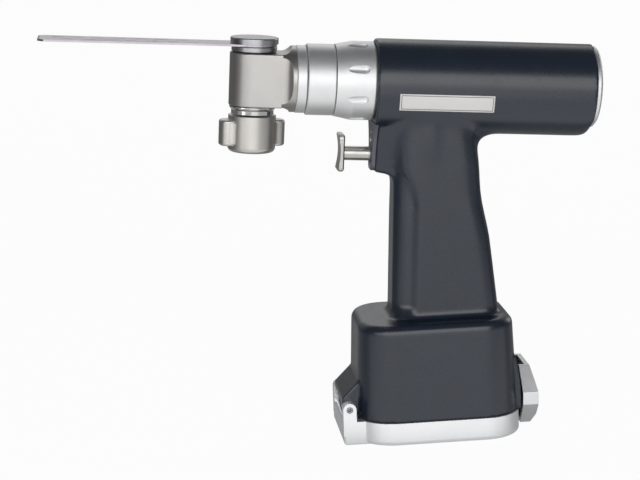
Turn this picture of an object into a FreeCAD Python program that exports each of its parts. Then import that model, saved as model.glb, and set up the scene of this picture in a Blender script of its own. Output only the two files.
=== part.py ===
import FreeCAD, Part
import math
import os

os.makedirs("parts", exist_ok=True)

# Surgical oscillating saw, millimetres, +Z up, -X towards the blade, Y = 0 is the plane of symmetry.
# The origin lies on the lid's flat underside, below the grip.

# Barrel axis: where it crosses the collar joint, and how far its nose is raised
AXIS_X = -26.0
AXIS_Z = 180.5
NOSE_UP = 4.25

# General running clearances
RUN_GAP = 0.05
FACE_GAP = 0.3
SEAT_GAP = 0.02

# Barrel housing, along the barrel axis
BARREL_LEN = 109.6
BARREL_R = 21.3
BARREL_DROP = 3.8
BARREL_WALL = 3.8
BARREL_TAIL_R = 20.8
TAIL_ROUND_LEN = 6.5
NOSE_EDGE = 0.8
REAR_CAP_R = 20.3
REAR_CAP_EDGE = 1.1
FRONT_WALL = 6.0
MOUTH_R = 17.6

# Trigger block below the barrel nose, heights are below the barrel axis
BLOCK_TOP = 12.0
BLOCK_BOTTOM = 45.2
BLOCK_LEN = 30.0
BLOCK_HALF_TOP = 15.0
BLOCK_HALF_BOTTOM = 7.6
BLOCK_REAR_HALF = 16.0
PLATE_T = 1.8
PLATE_INSET = 0.6
PLATE_TOP = 20.1
SCREW_UP = 25.6
SCREW_LOW = 42.9
SCREW_R = 1.3
PLUG_DROP = 29.6
PLUG_R = 1.5
BUSH_WALL = 0.8

# Grip, in the row frame
GRIP_MID_Z = 112.0
GRIP_LOW_Z = 57.0
GRIP_FRONT_TOP = -16.6
GRIP_FRONT_MID = -19.2
GRIP_FRONT_LOW = -21.6
GRIP_REAR_TOP = 21.8
GRIP_REAR_MID = 28.2
GRIP_REAR_LOW = 33.8
GRIP_HALF_W = 16.5
GRIP_CORNER = 8.5
GRIP_WALL = 3.4
GRIP_FOOT_BLEND = 3.0
GRIP_HEEL_BLEND = 7.0
GRIP_TOP_DROP = 14.5
GRIP_TOP_Z = AXIS_Z - GRIP_TOP_DROP

# Battery housing under the grip
BOX_TOP_Z = 61.0
SEAM_Z = 12.0
BOX_FRONT_TOP = -39.4
BOX_REAR_TOP = 39.2
BOX_HALF_TOP = 29.6
BOX_DRAFT = 2.4
BOX_CORNER = 17.0
BOX_TOP_FILLET = 4.5
BOX_WALL = 2.8

# Contact carrier over the battery
CONTACTS = 4
CONTACT_PITCH = 6.0
CONTACT_LEN = 10.0
CONTACT_W = 2.0
CONTACT_T = 3.0
CONTACT_DROP = 3.6
CONTACT_FRONT = -14.0
CONTACT_REAR = 26.0
CONTACT_HALF = 13.0

# Lid tray with its hinge ears
LID_BOTTOM_Z = 0.0
LID_RIM_GAP = 0.3
LID_FLOOR = 2.6
LID_WALL = 3.0
LID_PROUD = 0.6
LID_EDGE_ROUND = 2.2
EAR_OUT = 24.4
EAR_IN = 18.0
EAR_FRONT = -49.4
EAR_DEPTH = 6.8
EAR_REACH = 3.4
PIN_X = -46.0
PIN_Z = 18.0
PIN_R = 1.6
KNUCKLE_TOP = 34.0
KNUCKLE_BROW = 22.6
LID_FRONT_LEN = 20.0
WELL_LEN = 16.0
WELL_FLOOR = 9.0
FRONT_WALL_T = 2.2

# Latch rocker at the rear of the battery housing
LATCH_PIN_X = 46.5
LATCH_PIN_Z = 16.0
LATCH_PIN_R = 1.5
LATCH_PIN_HALF = 18.0
LATCH_TOP_Z = 32.3
LATCH_BOTTOM_Z = 2.5
LATCH_HALF_MID = 19.0
LATCH_HALF_TOP = 11.5
LATCH_HALF_BOTTOM = 12.5
LATCH_WALL = 2.2
LATCH_BOSS_HALF = 11.0
LATCH_FLAT_LOW = 13.5
LATCH_FLAT_HIGH = 19.8
LATCH_FRONT_X = 43.5
LATCH_LEAN = 0.5
LATCH_REAR_X = 51.4
LATCH_TOP_X = 48.4
LATCH_FOOT_X = 48.2
LATCH_HOLLOW_FLOOR = 5.0
SWELL_PROUD = 1.2
SWELL_TOP = 28.0
SWELL_HALF = 20.0

# Coupling rings and lock collar, along the barrel axis
RING_ONE_FRONT = -39.4
RING_TWO_FRONT = -34.3
COLLAR_FRONT = -20.3
COLLAR_CYL_FROM = -11.5
COLLAR_R = 19.6
COLLAR_NOSE_R = 17.9
RING_ONE_R = 16.8
RING_TWO_R = 17.7
RING_EDGE = 0.4
FLUTES = 8
FLUTE_REAR = -4.1
FLUTE_FRONT = -14.8
FLUTE_CUTTER_R = 2.4
FLUTE_DEPTH = 1.25
COLLAR_BORE_R = 14.6

# Saw head, on its own vertical axis
HEAD_X = -60.0
HEAD_HALF_W = 12.0
HEAD_TOP = 12.85
HEAD_BOTTOM = -13.5
HEAD_TURNED_R = 16.5
HEAD_SHOULDER = -46.5
HEAD_CUTTER_R = 5.1
HEAD_RIM_ROUND = 0.6
HEAD_BORE_R = 8.6
SPIGOT_R = 12.0
SPIGOT_END = 2.0
BEARING_LIP = 1.0
SHAFT_TUNNEL_R = 6.4
FORK_ROOM_LEN = 14.0
FORK_ROOM_HALF = 8.5
FORK_ROOM_TALL = 12.0

# Blade and clamp
BLADE_T = 1.0
BLADE_Z = 16.2
BLADE_REACH = 106.0
BLADE_HALF_TIP = 11.4
BLADE_HALF_ROOT = 9.8
BLADE_HUB_R = 11.2
BLADE_HOLE_R = 3.3
DRIVE_PINS = 6
DRIVE_PIN_R = 1.1
DRIVE_PIN_CIRCLE = 6.6
SLOTS = 7
SLOT_PITCH = 10.13
SLOT_LEN = 5.4
SLOT_W = 1.7
SLOT_FIRST = 96.4
SLOT_STAGGER = 5.4
SLOT_ROW_Y = 4.4
TOOTH_PITCH = 1.6
TOOTH_DEPTH = 1.3
CAP_R = 11.9
CAP_T = 3.1
FLANGE_DISC_R = 11.3

# Spindle, draw bolt and wing knob
SPINDLE_R = 6.0
SPINDLE_BOTTOM = -17.6
BOLT_R = 3.0
BEARING_W = 3.6
KNOB_R = 11.9
KNOB_TOP = -18.3
KNOB_BOTTOM = -36.8
KNOB_FOOT_ROUND = 2.5
KNOB_FLOOR = 1.4
WING_REACH = 16.6
WING_HALF_W = 5.2
WING_TOP = -20.6
WING_BOTTOM = -33.6
WING_TURN = 12.0
WING_END_ROUND = 1.2
WING_BLEND = 4.0
NECK_RING_R = 11.6
SWING_DEG = 2.5

# Drive train
SHAFT_R = 3.0
MOTOR_FRONT = 24.0
MOTOR_LEN = 62.0
ROTOR_R = 10.0
AIR_GAP = 0.5
STATOR_BORE_R = ROTOR_R + AIR_GAP
BALL_R = 8.0
SHIELD_DEPTH = 0.35
ECCENTRIC = 0.35
ECC_PIN_R = 1.9
ECC_BALL_R = 3.4
SHAFT_NOSE = -43.0
CRANK_R = 4.2
CRANK_FRONT = -45.5
ECC_PIN_FRONT = -49.6
ECC_BALL_W = 3.2
SHAFT_STUB = 3.0
BOARD_R = 15.5
BOARD_T = 1.6
BOARD_STANDOFF = 6.0
BOARD_POST_R = 1.4
BOARD_POST_CIRCLE = 12.0
BOARD_POSTS = 3
FORK_ARM = 1.6
FORK_TIP = 13.6
FORK_SPARE = 0.15
FORK_PLAY = FORK_TIP * math.sin(math.radians(SWING_DEG)) + FORK_SPARE

# Trigger, along the barrel axis
TRIGGER_DROP = 36.6
PAD_FRONT = -16.9
PAD_T = 3.2
PAD_HALF_W = 6.5
PAD_TALL = 18.8
PAD_DISH = 1.2
PAD_EDGE = 0.7
PAD_CORNER = 2.0
PAD_CENTRE_UP = 0.6
ROD_R = 3.6
ROD_END = 9.0
TRIGGER_TRAVEL = 6.5
SPRING_R = 2.6
SPRING_WIRE = 0.45
SPRING_TURNS = 7

X_AXIS = FreeCAD.Vector(1, 0, 0)
Y_AXIS = FreeCAD.Vector(0, 1, 0)
Z_AXIS = FreeCAD.Vector(0, 0, 1)
ORIGIN = FreeCAD.Vector(0, 0, 0)


def vec(x, y, z):
    return FreeCAD.Vector(x, y, z)


def along_x(radius, start, end, z=0.0, y=0.0):
    """A cylinder along X between two stations."""
    return Part.makeCylinder(radius, end - start, vec(start, y, z), X_AXIS)


def along_y(radius, half, x, z):
    """A cylinder along Y, centred on the plane of symmetry."""
    return Part.makeCylinder(radius, 2 * half, vec(x, -half, z), Y_AXIS)


def along_z(radius, low, high, x=0.0, y=0.0):
    """A cylinder along Z between two heights."""
    return Part.makeCylinder(radius, high - low, vec(x, y, low), Z_AXIS)


def ring_x(outer, inner, start, end, z=0.0):
    return along_x(outer, start, end, z).cut(along_x(inner, start - 1, end + 1, z))


def ring_z(outer, inner, low, high, x=0.0):
    return along_z(outer, low, high, x).cut(along_z(inner, low - 1, high + 1, x))


def polygon_face(points):
    return Part.Face(Part.makePolygon([vec(*p) for p in points + points[:1]]))


def turned_x(profile):
    """Revolves (x, r) points about the X axis."""
    face = polygon_face([(x, 0, r) for x, r in profile])
    return face.revolve(ORIGIN, X_AXIS, 360)


def turned_z(profile, x=0.0):
    """Revolves (r, z) points about a vertical axis at x."""
    face = polygon_face([(x + r, 0, z) for r, z in profile])
    return face.revolve(vec(x, 0, 0), Z_AXIS, 360)


def rounded_wire(x0, x1, half, radius, z):
    """A horizontal rectangle from x0 to x1, half wide each way in Y, with rounded corners."""
    c = radius * (1 - math.sqrt(0.5))
    corner = [
        (x0 + radius, -half, x1 - radius, -half, x1 - c, -half + c, x1, -half + radius),
        (x1, -half + radius, x1, half - radius, x1 - c, half - c, x1 - radius, half),
        (x1 - radius, half, x0 + radius, half, x0 + c, half - c, x0, half - radius),
        (x0, half - radius, x0, -half + radius, x0 + c, -half + c, x0 + radius, -half),
    ]
    edges = []
    for ax, ay, bx, by, mx, my, ex, ey in corner:
        edges.append(Part.LineSegment(vec(ax, ay, z), vec(bx, by, z)).toShape())
        edges.append(Part.Arc(vec(bx, by, z), vec(mx, my, z), vec(ex, ey, z)).toShape())
    return Part.Wire(edges)


def prism_z(x0, x1, half, radius, low, high):
    return Part.Face(rounded_wire(x0, x1, half, radius, low)).extrude(vec(0, 0, high - low))


def edges_where(shape, test):
    return [e for e in shape.Edges if test(e.BoundBox)]


def placed(shape):
    """Moves a shape from the barrel frame (X rearwards along the axis) to the row frame."""
    moved = shape.copy()
    moved.rotate(ORIGIN, Y_AXIS, NOSE_UP)
    moved.translate(vec(AXIS_X, 0, AXIS_Z))
    return moved


def save(name, shape):
    """Writes one node's STEP file and prints its solids, volume and bounds."""
    solid = shape.removeSplitter()
    solid.exportStep("parts/" + name + ".step")
    box = solid.BoundBox
    bounds = [round(v, 1) for v in (box.XMin, box.XMax, box.YMin, box.YMax, box.ZMin, box.ZMax)]
    print(name, len(solid.Solids), solid.isValid(), round(solid.Volume, 1), bounds)


# Handle casting


def barrel_section(radius, start, end):
    """The barrel's tall section: a circle on the axis joined to one lowered by the drop."""
    top = Part.Arc(vec(start, radius, 0), vec(start, 0, radius), vec(start, -radius, 0)).toShape()
    near = Part.LineSegment(vec(start, -radius, 0), vec(start, -radius, -BARREL_DROP)).toShape()
    low = Part.Arc(vec(start, -radius, -BARREL_DROP), vec(start, 0, -BARREL_DROP - radius),
                   vec(start, radius, -BARREL_DROP)).toShape()
    far = Part.LineSegment(vec(start, radius, -BARREL_DROP), vec(start, radius, 0)).toShape()
    face = Part.Face(Part.Wire([top, near, low, far]))
    return face.extrude(vec(end - start, 0, 0))


def barrel_outside():
    solid = barrel_section(BARREL_R, 0, BARREL_LEN)
    solid = solid.makeFillet(NOSE_EDGE, edges_where(solid, lambda b: b.XMax < 0.01))
    reach = BARREL_R + BARREL_DROP + 1
    bend = BARREL_LEN - TAIL_ROUND_LEN
    mid_r = BARREL_TAIL_R + 0.72 * (reach - BARREL_TAIL_R)
    edges = [
        Part.LineSegment(vec(-1, 0, 0), vec(-1, 0, reach)).toShape(),
        Part.LineSegment(vec(-1, 0, reach), vec(bend, 0, reach)).toShape(),
        Part.Arc(vec(bend, 0, reach), vec(BARREL_LEN - 0.28 * TAIL_ROUND_LEN, 0, mid_r),
                 vec(BARREL_LEN, 0, BARREL_TAIL_R)).toShape(),
        Part.LineSegment(vec(BARREL_LEN, 0, BARREL_TAIL_R), vec(BARREL_LEN, 0, 0)).toShape(),
        Part.LineSegment(vec(BARREL_LEN, 0, 0), vec(-1, 0, 0)).toShape(),
    ]
    envelope = Part.Face(Part.Wire(edges)).revolve(ORIGIN, X_AXIS, 360)
    return solid.common(envelope)


def block_wire(x, half_top, half_bottom, top, bottom, radius):
    """The trigger block's cross-section in a plane across the barrel axis: it narrows downwards."""
    c = radius * 0.3
    points = [(-half_top, -top), (-half_bottom - 1.2, -bottom + 13), (-half_bottom, -bottom + radius)]
    near = Part.BSplineCurve()
    near.interpolate([vec(x, y, z) for y, z in points])
    far = Part.BSplineCurve()
    far.interpolate([vec(x, -y, z) for y, z in reversed(points)])
    low_near = Part.Arc(vec(x, -half_bottom, -bottom + radius), vec(x, -half_bottom + c, -bottom + c),
                        vec(x, -half_bottom + radius, -bottom)).toShape()
    floor = Part.LineSegment(vec(x, -half_bottom + radius, -bottom),
                             vec(x, half_bottom - radius, -bottom)).toShape()
    low_far = Part.Arc(vec(x, half_bottom - radius, -bottom), vec(x, half_bottom - c, -bottom + c),
                       vec(x, half_bottom, -bottom + radius)).toShape()
    top_edge = Part.LineSegment(vec(x, half_top, -top), vec(x, -half_top, -top)).toShape()
    return Part.Wire([near.toShape(), low_near, floor, low_far, far.toShape(), top_edge])


def trigger_block():
    """The block that carries the trigger, widening rearwards into the grip."""
    front = block_wire(PLATE_T, BLOCK_HALF_TOP, BLOCK_HALF_BOTTOM, BLOCK_TOP, BLOCK_BOTTOM, 4.0)
    rear = block_wire(BLOCK_LEN, BLOCK_HALF_TOP + 2, BLOCK_REAR_HALF, BLOCK_TOP,
                      BLOCK_BOTTOM + 5.5, 6.0)
    return Part.makeLoft([front, rear], True, False)


def grip_loft(shrink, low, high):
    """The raked grip, drawn in by shrink on every side, between two heights."""
    stations = [
        (GRIP_LOW_Z, GRIP_FRONT_LOW, GRIP_REAR_LOW),
        (GRIP_MID_Z, GRIP_FRONT_MID, GRIP_REAR_MID),
        (GRIP_TOP_Z, GRIP_FRONT_TOP, GRIP_REAR_TOP),
    ]
    wires = []
    for z, front, rear in stations:
        wires.append(rounded_wire(front + shrink, rear - shrink, GRIP_HALF_W - shrink,
                                  GRIP_CORNER - shrink, z))
    loft = Part.makeLoft(wires, True, False)
    keep = Part.makeBox(2 * BARREL_LEN, 2 * BARREL_LEN, high - low, vec(-BARREL_LEN, -BARREL_LEN, low))
    return loft.common(keep)


def box_loft(shrink, low, high):
    """The drafted battery housing, drawn in by shrink, between two heights."""
    def wire(z):
        grow = (BOX_TOP_Z - z) * math.tan(math.radians(BOX_DRAFT)) - shrink
        return rounded_wire(BOX_FRONT_TOP - grow, BOX_REAR_TOP + grow, BOX_HALF_TOP + grow,
                            BOX_CORNER + grow, z)
    return Part.makeLoft([wire(low), wire(high)], True, False)


def hinge_knuckle():
    """The wedge on the housing front that drops between the lid's ears."""
    half = EAR_IN - FACE_GAP
    root = BOX_FRONT_TOP + 2
    front = EAR_FRONT + 0.5
    profile = [(root, KNUCKLE_TOP), (front, KNUCKLE_BROW), (front, PIN_Z + 1.5), (front + 1.2, PIN_Z - 2.4),
               (PIN_X + 1.8, SEAM_Z + 2.2), (root, SEAM_Z + 2.2)]
    face = polygon_face([(x, -half, z) for x, z in profile])
    solid = face.extrude(vec(0, 2 * half, 0))
    brow = edges_where(solid, lambda b: b.YLength > half and b.XMax < front + 0.1 and b.ZMin > PIN_Z + 2)
    return solid.makeFillet(1.2, brow)


def latch_swell():
    """The low swelling on the housing's rear face that the latch stands over."""
    root = BOX_REAR_TOP - BOX_WALL
    lean = math.tan(math.radians(BOX_DRAFT))
    crest = BOX_REAR_TOP + (BOX_TOP_Z - SEAM_Z) * lean + SWELL_PROUD
    top_z = SEAM_Z + SWELL_TOP
    top_x = BOX_REAR_TOP + (BOX_TOP_Z - top_z) * lean - FACE_GAP
    fall = crest - top_x
    climb = top_z - LATCH_PIN_Z
    sweep_r = (fall ** 2 + climb ** 2) / (2 * fall)
    half_turn = math.asin(climb / sweep_r) / 2
    middle = vec(crest - sweep_r * (1 - math.cos(half_turn)), -SWELL_HALF,
                 LATCH_PIN_Z + sweep_r * math.sin(half_turn))
    low = vec(crest, -SWELL_HALF, SEAM_Z)
    full = vec(crest, -SWELL_HALF, LATCH_PIN_Z)
    top = vec(top_x, -SWELL_HALF, top_z)
    top_root = vec(root, -SWELL_HALF, top_z)
    low_root = vec(root, -SWELL_HALF, SEAM_Z)
    edges = [Part.LineSegment(low, full).toShape(), Part.Arc(full, middle, top).toShape(),
             Part.LineSegment(top, top_root).toShape(), Part.LineSegment(top_root, low_root).toShape(),
             Part.LineSegment(low_root, low).toShape()]
    return Part.Face(Part.Wire(edges)).extrude(vec(0, 2 * SWELL_HALF, 0))


def latch_boss():
    """The dark boss behind the housing that carries the latch pin."""
    half = LATCH_BOSS_HALF
    root = BOX_REAR_TOP - BOX_WALL
    nose = LATCH_PIN_X + LATCH_PIN_R + 0.4
    top_z = LATCH_PIN_Z + LATCH_PIN_R + 1.4
    block = Part.makeBox(nose - root, 2 * half, top_z - SEAM_Z, vec(root, -half, SEAM_Z))
    top = edges_where(block, lambda b: b.YLength > half and b.XMin > nose - 0.01)
    return block.makeFillet(1.2, top).fuse(latch_swell())


def grip_and_box():
    """The grip standing on the battery housing, with a rounded rim and a filleted foot."""
    grip = grip_loft(0, GRIP_LOW_Z, GRIP_TOP_Z)
    box = box_loft(0, SEAM_Z, BOX_TOP_Z)
    box = box.makeFillet(BOX_TOP_FILLET, edges_where(box, lambda b: b.ZMin > BOX_TOP_Z - 0.01))
    both = box.fuse(grip).removeSplitter()
    foot = edges_where(both, lambda b: abs(b.ZMin - BOX_TOP_Z) < 0.01 and b.ZLength < 0.01
                       and b.XMin > GRIP_FRONT_LOW - 1 and b.XMax < GRIP_REAR_LOW + 1
                       and b.YMax < GRIP_HALF_W + 1 and b.YMin > -GRIP_HALF_W - 1)
    return both.makeFillet(GRIP_FOOT_BLEND, foot)


def heel_web():
    """The concave heel between the grip's rear face and the barrel's underside."""
    drop = (BARREL_R + BARREL_DROP) / math.cos(math.radians(NOSE_UP))
    slope = math.tan(math.radians(NOSE_UP))
    lean = (GRIP_REAR_TOP - GRIP_REAR_MID) / (GRIP_TOP_Z - GRIP_MID_Z)
    under_at_axis = AXIS_Z - drop
    corner_x = (GRIP_REAR_MID + lean * (under_at_axis + slope * AXIS_X - GRIP_MID_Z)) / (1 + lean * slope)
    corner_z = under_at_axis - slope * (corner_x - AXIS_X)
    corner = vec(corner_x, 0, corner_z)
    rearwards = vec(1, 0, -slope).normalize()
    downwards = vec(-lean, 0, -1).normalize()
    half_angle = rearwards.getAngle(downwards) / 2
    reach = GRIP_HEEL_BLEND / math.tan(half_angle)
    centre = corner + (rearwards + downwards).normalize() * (GRIP_HEEL_BLEND / math.sin(half_angle))
    inset = (rearwards + downwards).normalize() * -1.5
    half = GRIP_HALF_W - GRIP_CORNER
    ring = [corner + inset, corner + inset + rearwards * reach, corner + rearwards * reach, centre,
            corner + downwards * reach, corner + inset + downwards * reach]
    face = polygon_face([(p.x, -half, p.z) for p in ring])
    return face.extrude(vec(0, 2 * half, 0)).cut(along_y(GRIP_HEEL_BLEND, half + 1, centre.x, centre.z))


def handle_body():
    barrel = placed(barrel_outside())
    block = placed(trigger_block())
    grip = grip_and_box()
    outside = barrel.fuse([block, grip, heel_web(), hinge_knuckle(), latch_boss()]).removeSplitter()
    cavities = [
        placed(along_x(BARREL_R - BARREL_WALL, FRONT_WALL, BARREL_LEN + 1)),
        placed(along_x(MOUTH_R, -1, FRONT_WALL - 2.0)),
        placed(along_x(BALL_R + SEAT_GAP, 0, FRONT_WALL + 1)),
        grip_loft(GRIP_WALL, GRIP_LOW_Z, GRIP_TOP_Z - 1.0),
        box_loft(BOX_WALL, SEAM_Z - 0.01, BOX_TOP_Z - BOX_WALL),
        placed(along_x(ROD_R + RUN_GAP + 0.6, -1, 16, -TRIGGER_DROP)),
        placed(plate_blank(-RUN_GAP).extrude(vec(-5, 0, 0))),
        placed(plate_blank(-RUN_GAP).extrude(vec(PLATE_T, 0, 0))),
        along_y(PIN_R + SEAT_GAP, EAR_OUT, PIN_X, PIN_Z),
        along_y(LATCH_PIN_R + SEAT_GAP, LATCH_BOSS_HALF + 1, LATCH_PIN_X, LATCH_PIN_Z),
    ]
    return outside.cut(cavities)


def plate_blank(play):
    """The apron's face in the plane across the nose, drawn in by play."""
    inset = PLATE_INSET + play
    return Part.Face(block_wire(0, BLOCK_HALF_TOP - inset, BLOCK_HALF_BOTTOM - inset,
                                PLATE_TOP + play, BLOCK_BOTTOM - inset, 3.6))


def trigger_plate():
    """The grey apron on the block front, with the bores for the trigger, two screws and the plug."""
    plate = plate_blank(SEAT_GAP).extrude(vec(PLATE_T - SEAT_GAP, 0, 0))
    holes = [
        along_x(ROD_R + BUSH_WALL + SEAT_GAP, -1, PLATE_T + 1, -TRIGGER_DROP),
        along_x(SCREW_R, -1, PLATE_T + 1, -SCREW_UP),
        along_x(SCREW_R, -1, PLATE_T + 1, -SCREW_LOW),
        along_x(PLUG_R, -1, PLATE_T + 1, -PLUG_DROP),
    ]
    return placed(plate.cut(holes))


def socket_screw(radius, depth, z):
    head = along_x(radius, -0.2, depth, z)
    return head.cut(along_x(radius * 0.5, -1, 0.7, z))


def plate_screws():
    low = socket_screw(SCREW_R - SEAT_GAP, PLATE_T - SEAT_GAP, -SCREW_LOW)
    high = socket_screw(SCREW_R - SEAT_GAP, PLATE_T - SEAT_GAP, -SCREW_UP)
    return placed(Part.makeCompound([low, high]))


def mode_plug():
    """The small raised plug between the upper screw and the trigger rod."""
    plug = along_x(PLUG_R - SEAT_GAP, -0.6, PLATE_T - SEAT_GAP, -PLUG_DROP)
    return placed(plug.makeFillet(0.3, edges_where(plug, lambda b: b.XMax < -0.5)))


def trigger_bush():
    return placed(ring_x(ROD_R + BUSH_WALL, ROD_R + RUN_GAP, -0.5, PLATE_T - SEAT_GAP, -TRIGGER_DROP))


def trigger_pad():
    """The upright finger pad, dished across its front and rounded at its corners."""
    low = -TRIGGER_DROP + PAD_CENTRE_UP - PAD_TALL / 2
    pad = Part.makeBox(PAD_T, 2 * PAD_HALF_W, PAD_TALL, vec(PAD_FRONT, -PAD_HALF_W, low))
    pad = pad.makeFillet(PAD_CORNER, edges_where(pad, lambda b: b.XLength > 1))
    pad = pad.makeChamfer(PAD_EDGE, edges_where(pad, lambda b: b.XLength < 0.01))
    dish_r = ((PAD_TALL / 2 - PAD_EDGE) ** 2 + PAD_DISH ** 2) / (2 * PAD_DISH)
    return pad.cut(along_y(dish_r, PAD_HALF_W + 1, PAD_FRONT + PAD_DISH - dish_r, low + PAD_TALL / 2))


def trigger():
    """The dished pad on its rod; the rod's tail takes the return spring."""
    rod = along_x(ROD_R, PAD_FRONT + PAD_T - 0.5, ROD_END, -TRIGGER_DROP)
    tail = along_x(SPRING_R - SPRING_WIRE - FACE_GAP, ROD_END - 0.5, ROD_END + 5, -TRIGGER_DROP)
    return placed(trigger_pad().fuse([rod, tail]).removeSplitter())


def spring_seat():
    """The guide behind the trigger that carries the spring's far end and the switch."""
    start = ROD_END + TRIGGER_TRAVEL + 6.4
    cup = ring_x(5.2, SPRING_R - 0.2, start, start + 2.0, -TRIGGER_DROP)
    return cup.fuse(ring_x(5.2, SPRING_R + 0.8, start + 2.0, start + 6.0, -TRIGGER_DROP))


def switch_block():
    """The switch body with its guide, held between the grip walls."""
    start = ROD_END + TRIGGER_TRAVEL + 6.4
    half = GRIP_HALF_W - GRIP_WALL - 0.15
    body = Part.makeBox(9.0, 2 * half, 15.0, vec(start + 5.9, -half, -TRIGGER_DROP - 7.5))
    return placed(spring_seat().fuse(body).removeSplitter())


def trigger_spring():
    start = ROD_END + 0.1
    end = ROD_END + TRIGGER_TRAVEL + 6.3
    length = end - start - 2 * SPRING_WIRE
    helix = Part.makeHelix(length / SPRING_TURNS, length, SPRING_R)
    circle = Part.makeCircle(SPRING_WIRE, vec(SPRING_R, 0, 0), Y_AXIS)
    coil = Part.Wire(helix).makePipeShell([Part.Wire(circle)], True, True)
    coil.rotate(ORIGIN, Y_AXIS, 90)
    coil.translate(vec(start + SPRING_WIRE, 0, -TRIGGER_DROP))
    return placed(coil)


# Barrel internals


def rear_cap():
    """The bright rear cover, plain, with two spanner holes and a spigot in the bore."""
    bore = BARREL_R - BARREL_WALL
    profile = [(BARREL_LEN - 5, 0), (BARREL_LEN - 5, bore - SEAT_GAP),
               (BARREL_LEN + SEAT_GAP, bore - SEAT_GAP), (BARREL_LEN + SEAT_GAP, REAR_CAP_R),
               (BARREL_LEN + 1.5, REAR_CAP_R), (BARREL_LEN + 2.5, REAR_CAP_R - REAR_CAP_EDGE),
               (BARREL_LEN + 2.5, 16.8), (BARREL_LEN + 1.6, 16.0), (BARREL_LEN + 1.6, 0)]
    cap = turned_x(profile)
    holes = [along_x(1.5, BARREL_LEN - 1.5, BARREL_LEN + 4, 0, s * 9.0) for s in (-1, 1)]
    groove = ring_x(bore + 1, bore - 1.2, BARREL_LEN - 3.6, BARREL_LEN - 2.0)
    return placed(cap.cut(holes + [groove]))


def rear_seal():
    bore = BARREL_R - BARREL_WALL
    return placed(ring_x(bore - 0.03, bore - 1.18, BARREL_LEN - 3.55, BARREL_LEN - 2.05))


def bearing(outer, inner, start, width, axis="x", x=0.0):
    """A sealed ball bearing: two rings with shallow shield grooves."""
    def ring(ring_outer, ring_inner, low, high):
        if axis == "x":
            return ring_x(ring_outer, ring_inner, low, high)
        return ring_z(ring_outer, ring_inner, low, high, x)
    gap = (outer - inner) * 0.28
    grooves = [ring(outer - gap, inner + gap, side, side + 1)
               for side in (start - 1 + SHIELD_DEPTH, start + width - SHIELD_DEPTH)]
    return ring(outer, inner, start, start + width).cut(grooves)


def front_bearing():
    return placed(bearing(BALL_R, SHAFT_R + SEAT_GAP * 2, 2.2, BEARING_W))


def motor_shell():
    """The stator can with its end walls, a slide fit in the barrel."""
    end = MOTOR_FRONT + MOTOR_LEN
    outer = BARREL_R - BARREL_WALL - 0.05
    can = along_x(outer, MOTOR_FRONT, end)
    inner = along_x(STATOR_BORE_R, MOTOR_FRONT + 6, end - 6)
    seats = [along_x(BALL_R + SEAT_GAP, MOTOR_FRONT - 1, MOTOR_FRONT + 4),
             along_x(BALL_R + SEAT_GAP, end - 4, end + 1),
             along_x(SHAFT_R + 1.2, MOTOR_FRONT - 2, end + 2)]
    return placed(can.cut([inner] + seats))


def motor_bearings():
    end = MOTOR_FRONT + MOTOR_LEN
    front = bearing(BALL_R, SHAFT_R + SEAT_GAP * 2, MOTOR_FRONT + 0.2, BEARING_W)
    rear = bearing(BALL_R, SHAFT_R + SEAT_GAP * 2, end - 0.2 - BEARING_W, BEARING_W)
    return placed(Part.makeCompound([front, rear]))


def motor_rotor():
    start = MOTOR_FRONT + 8
    return placed(ring_x(ROTOR_R, SHAFT_R + SEAT_GAP, start, MOTOR_FRONT + MOTOR_LEN - 8))


def drive_shaft():
    """The motor shaft, with the offset pin that drives the fork at its nose."""
    shaft = along_x(SHAFT_R, SHAFT_NOSE, MOTOR_FRONT + MOTOR_LEN + SHAFT_STUB)
    crank = along_x(CRANK_R, CRANK_FRONT, SHAFT_NOSE + FACE_GAP)
    pin = along_x(ECC_PIN_R, ECC_PIN_FRONT, CRANK_FRONT + FACE_GAP, ECCENTRIC)
    return placed(shaft.fuse([crank, pin]).removeSplitter())


def eccentric_bearing():
    front = ECC_PIN_FRONT + 4 * RUN_GAP
    ring = ring_x(ECC_BALL_R, ECC_PIN_R + SEAT_GAP, front, front + ECC_BALL_W)
    ring.translate(vec(0, 0, ECCENTRIC))
    return placed(ring)


def control_board():
    """The round board behind the motor, on its posts."""
    end = MOTOR_FRONT + MOTOR_LEN
    board = ring_x(BOARD_R, SHAFT_R + 2.0, end + BOARD_STANDOFF, end + BOARD_STANDOFF + BOARD_T)
    posts = []
    for i in range(BOARD_POSTS):
        a = math.radians(360.0 / BOARD_POSTS * (i + 0.25))
        posts.append(along_x(BOARD_POST_R, end, end + BOARD_STANDOFF + 0.1,
                             BOARD_POST_CIRCLE * math.sin(a), BOARD_POST_CIRCLE * math.cos(a)))
    return placed(board.fuse(posts).removeSplitter())


# Coupling


def lock_collar():
    """The fluted lock collar: a cone, a cylinder and a row of scooped flutes."""
    profile = [(COLLAR_FRONT + FACE_GAP, COLLAR_BORE_R), (COLLAR_FRONT + FACE_GAP, COLLAR_NOSE_R),
               (COLLAR_CYL_FROM, COLLAR_R), (-1.2, COLLAR_R), (-FACE_GAP, COLLAR_R - 0.6),
               (-FACE_GAP, COLLAR_BORE_R)]
    body = turned_x(profile)
    flutes = []
    for i in range(FLUTES):
        angle = 360.0 / FLUTES * (i + 0.5)
        flutes.append(flute_cutter().rotated(ORIGIN, X_AXIS, angle))
    return placed(body.cut(flutes))


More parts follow.
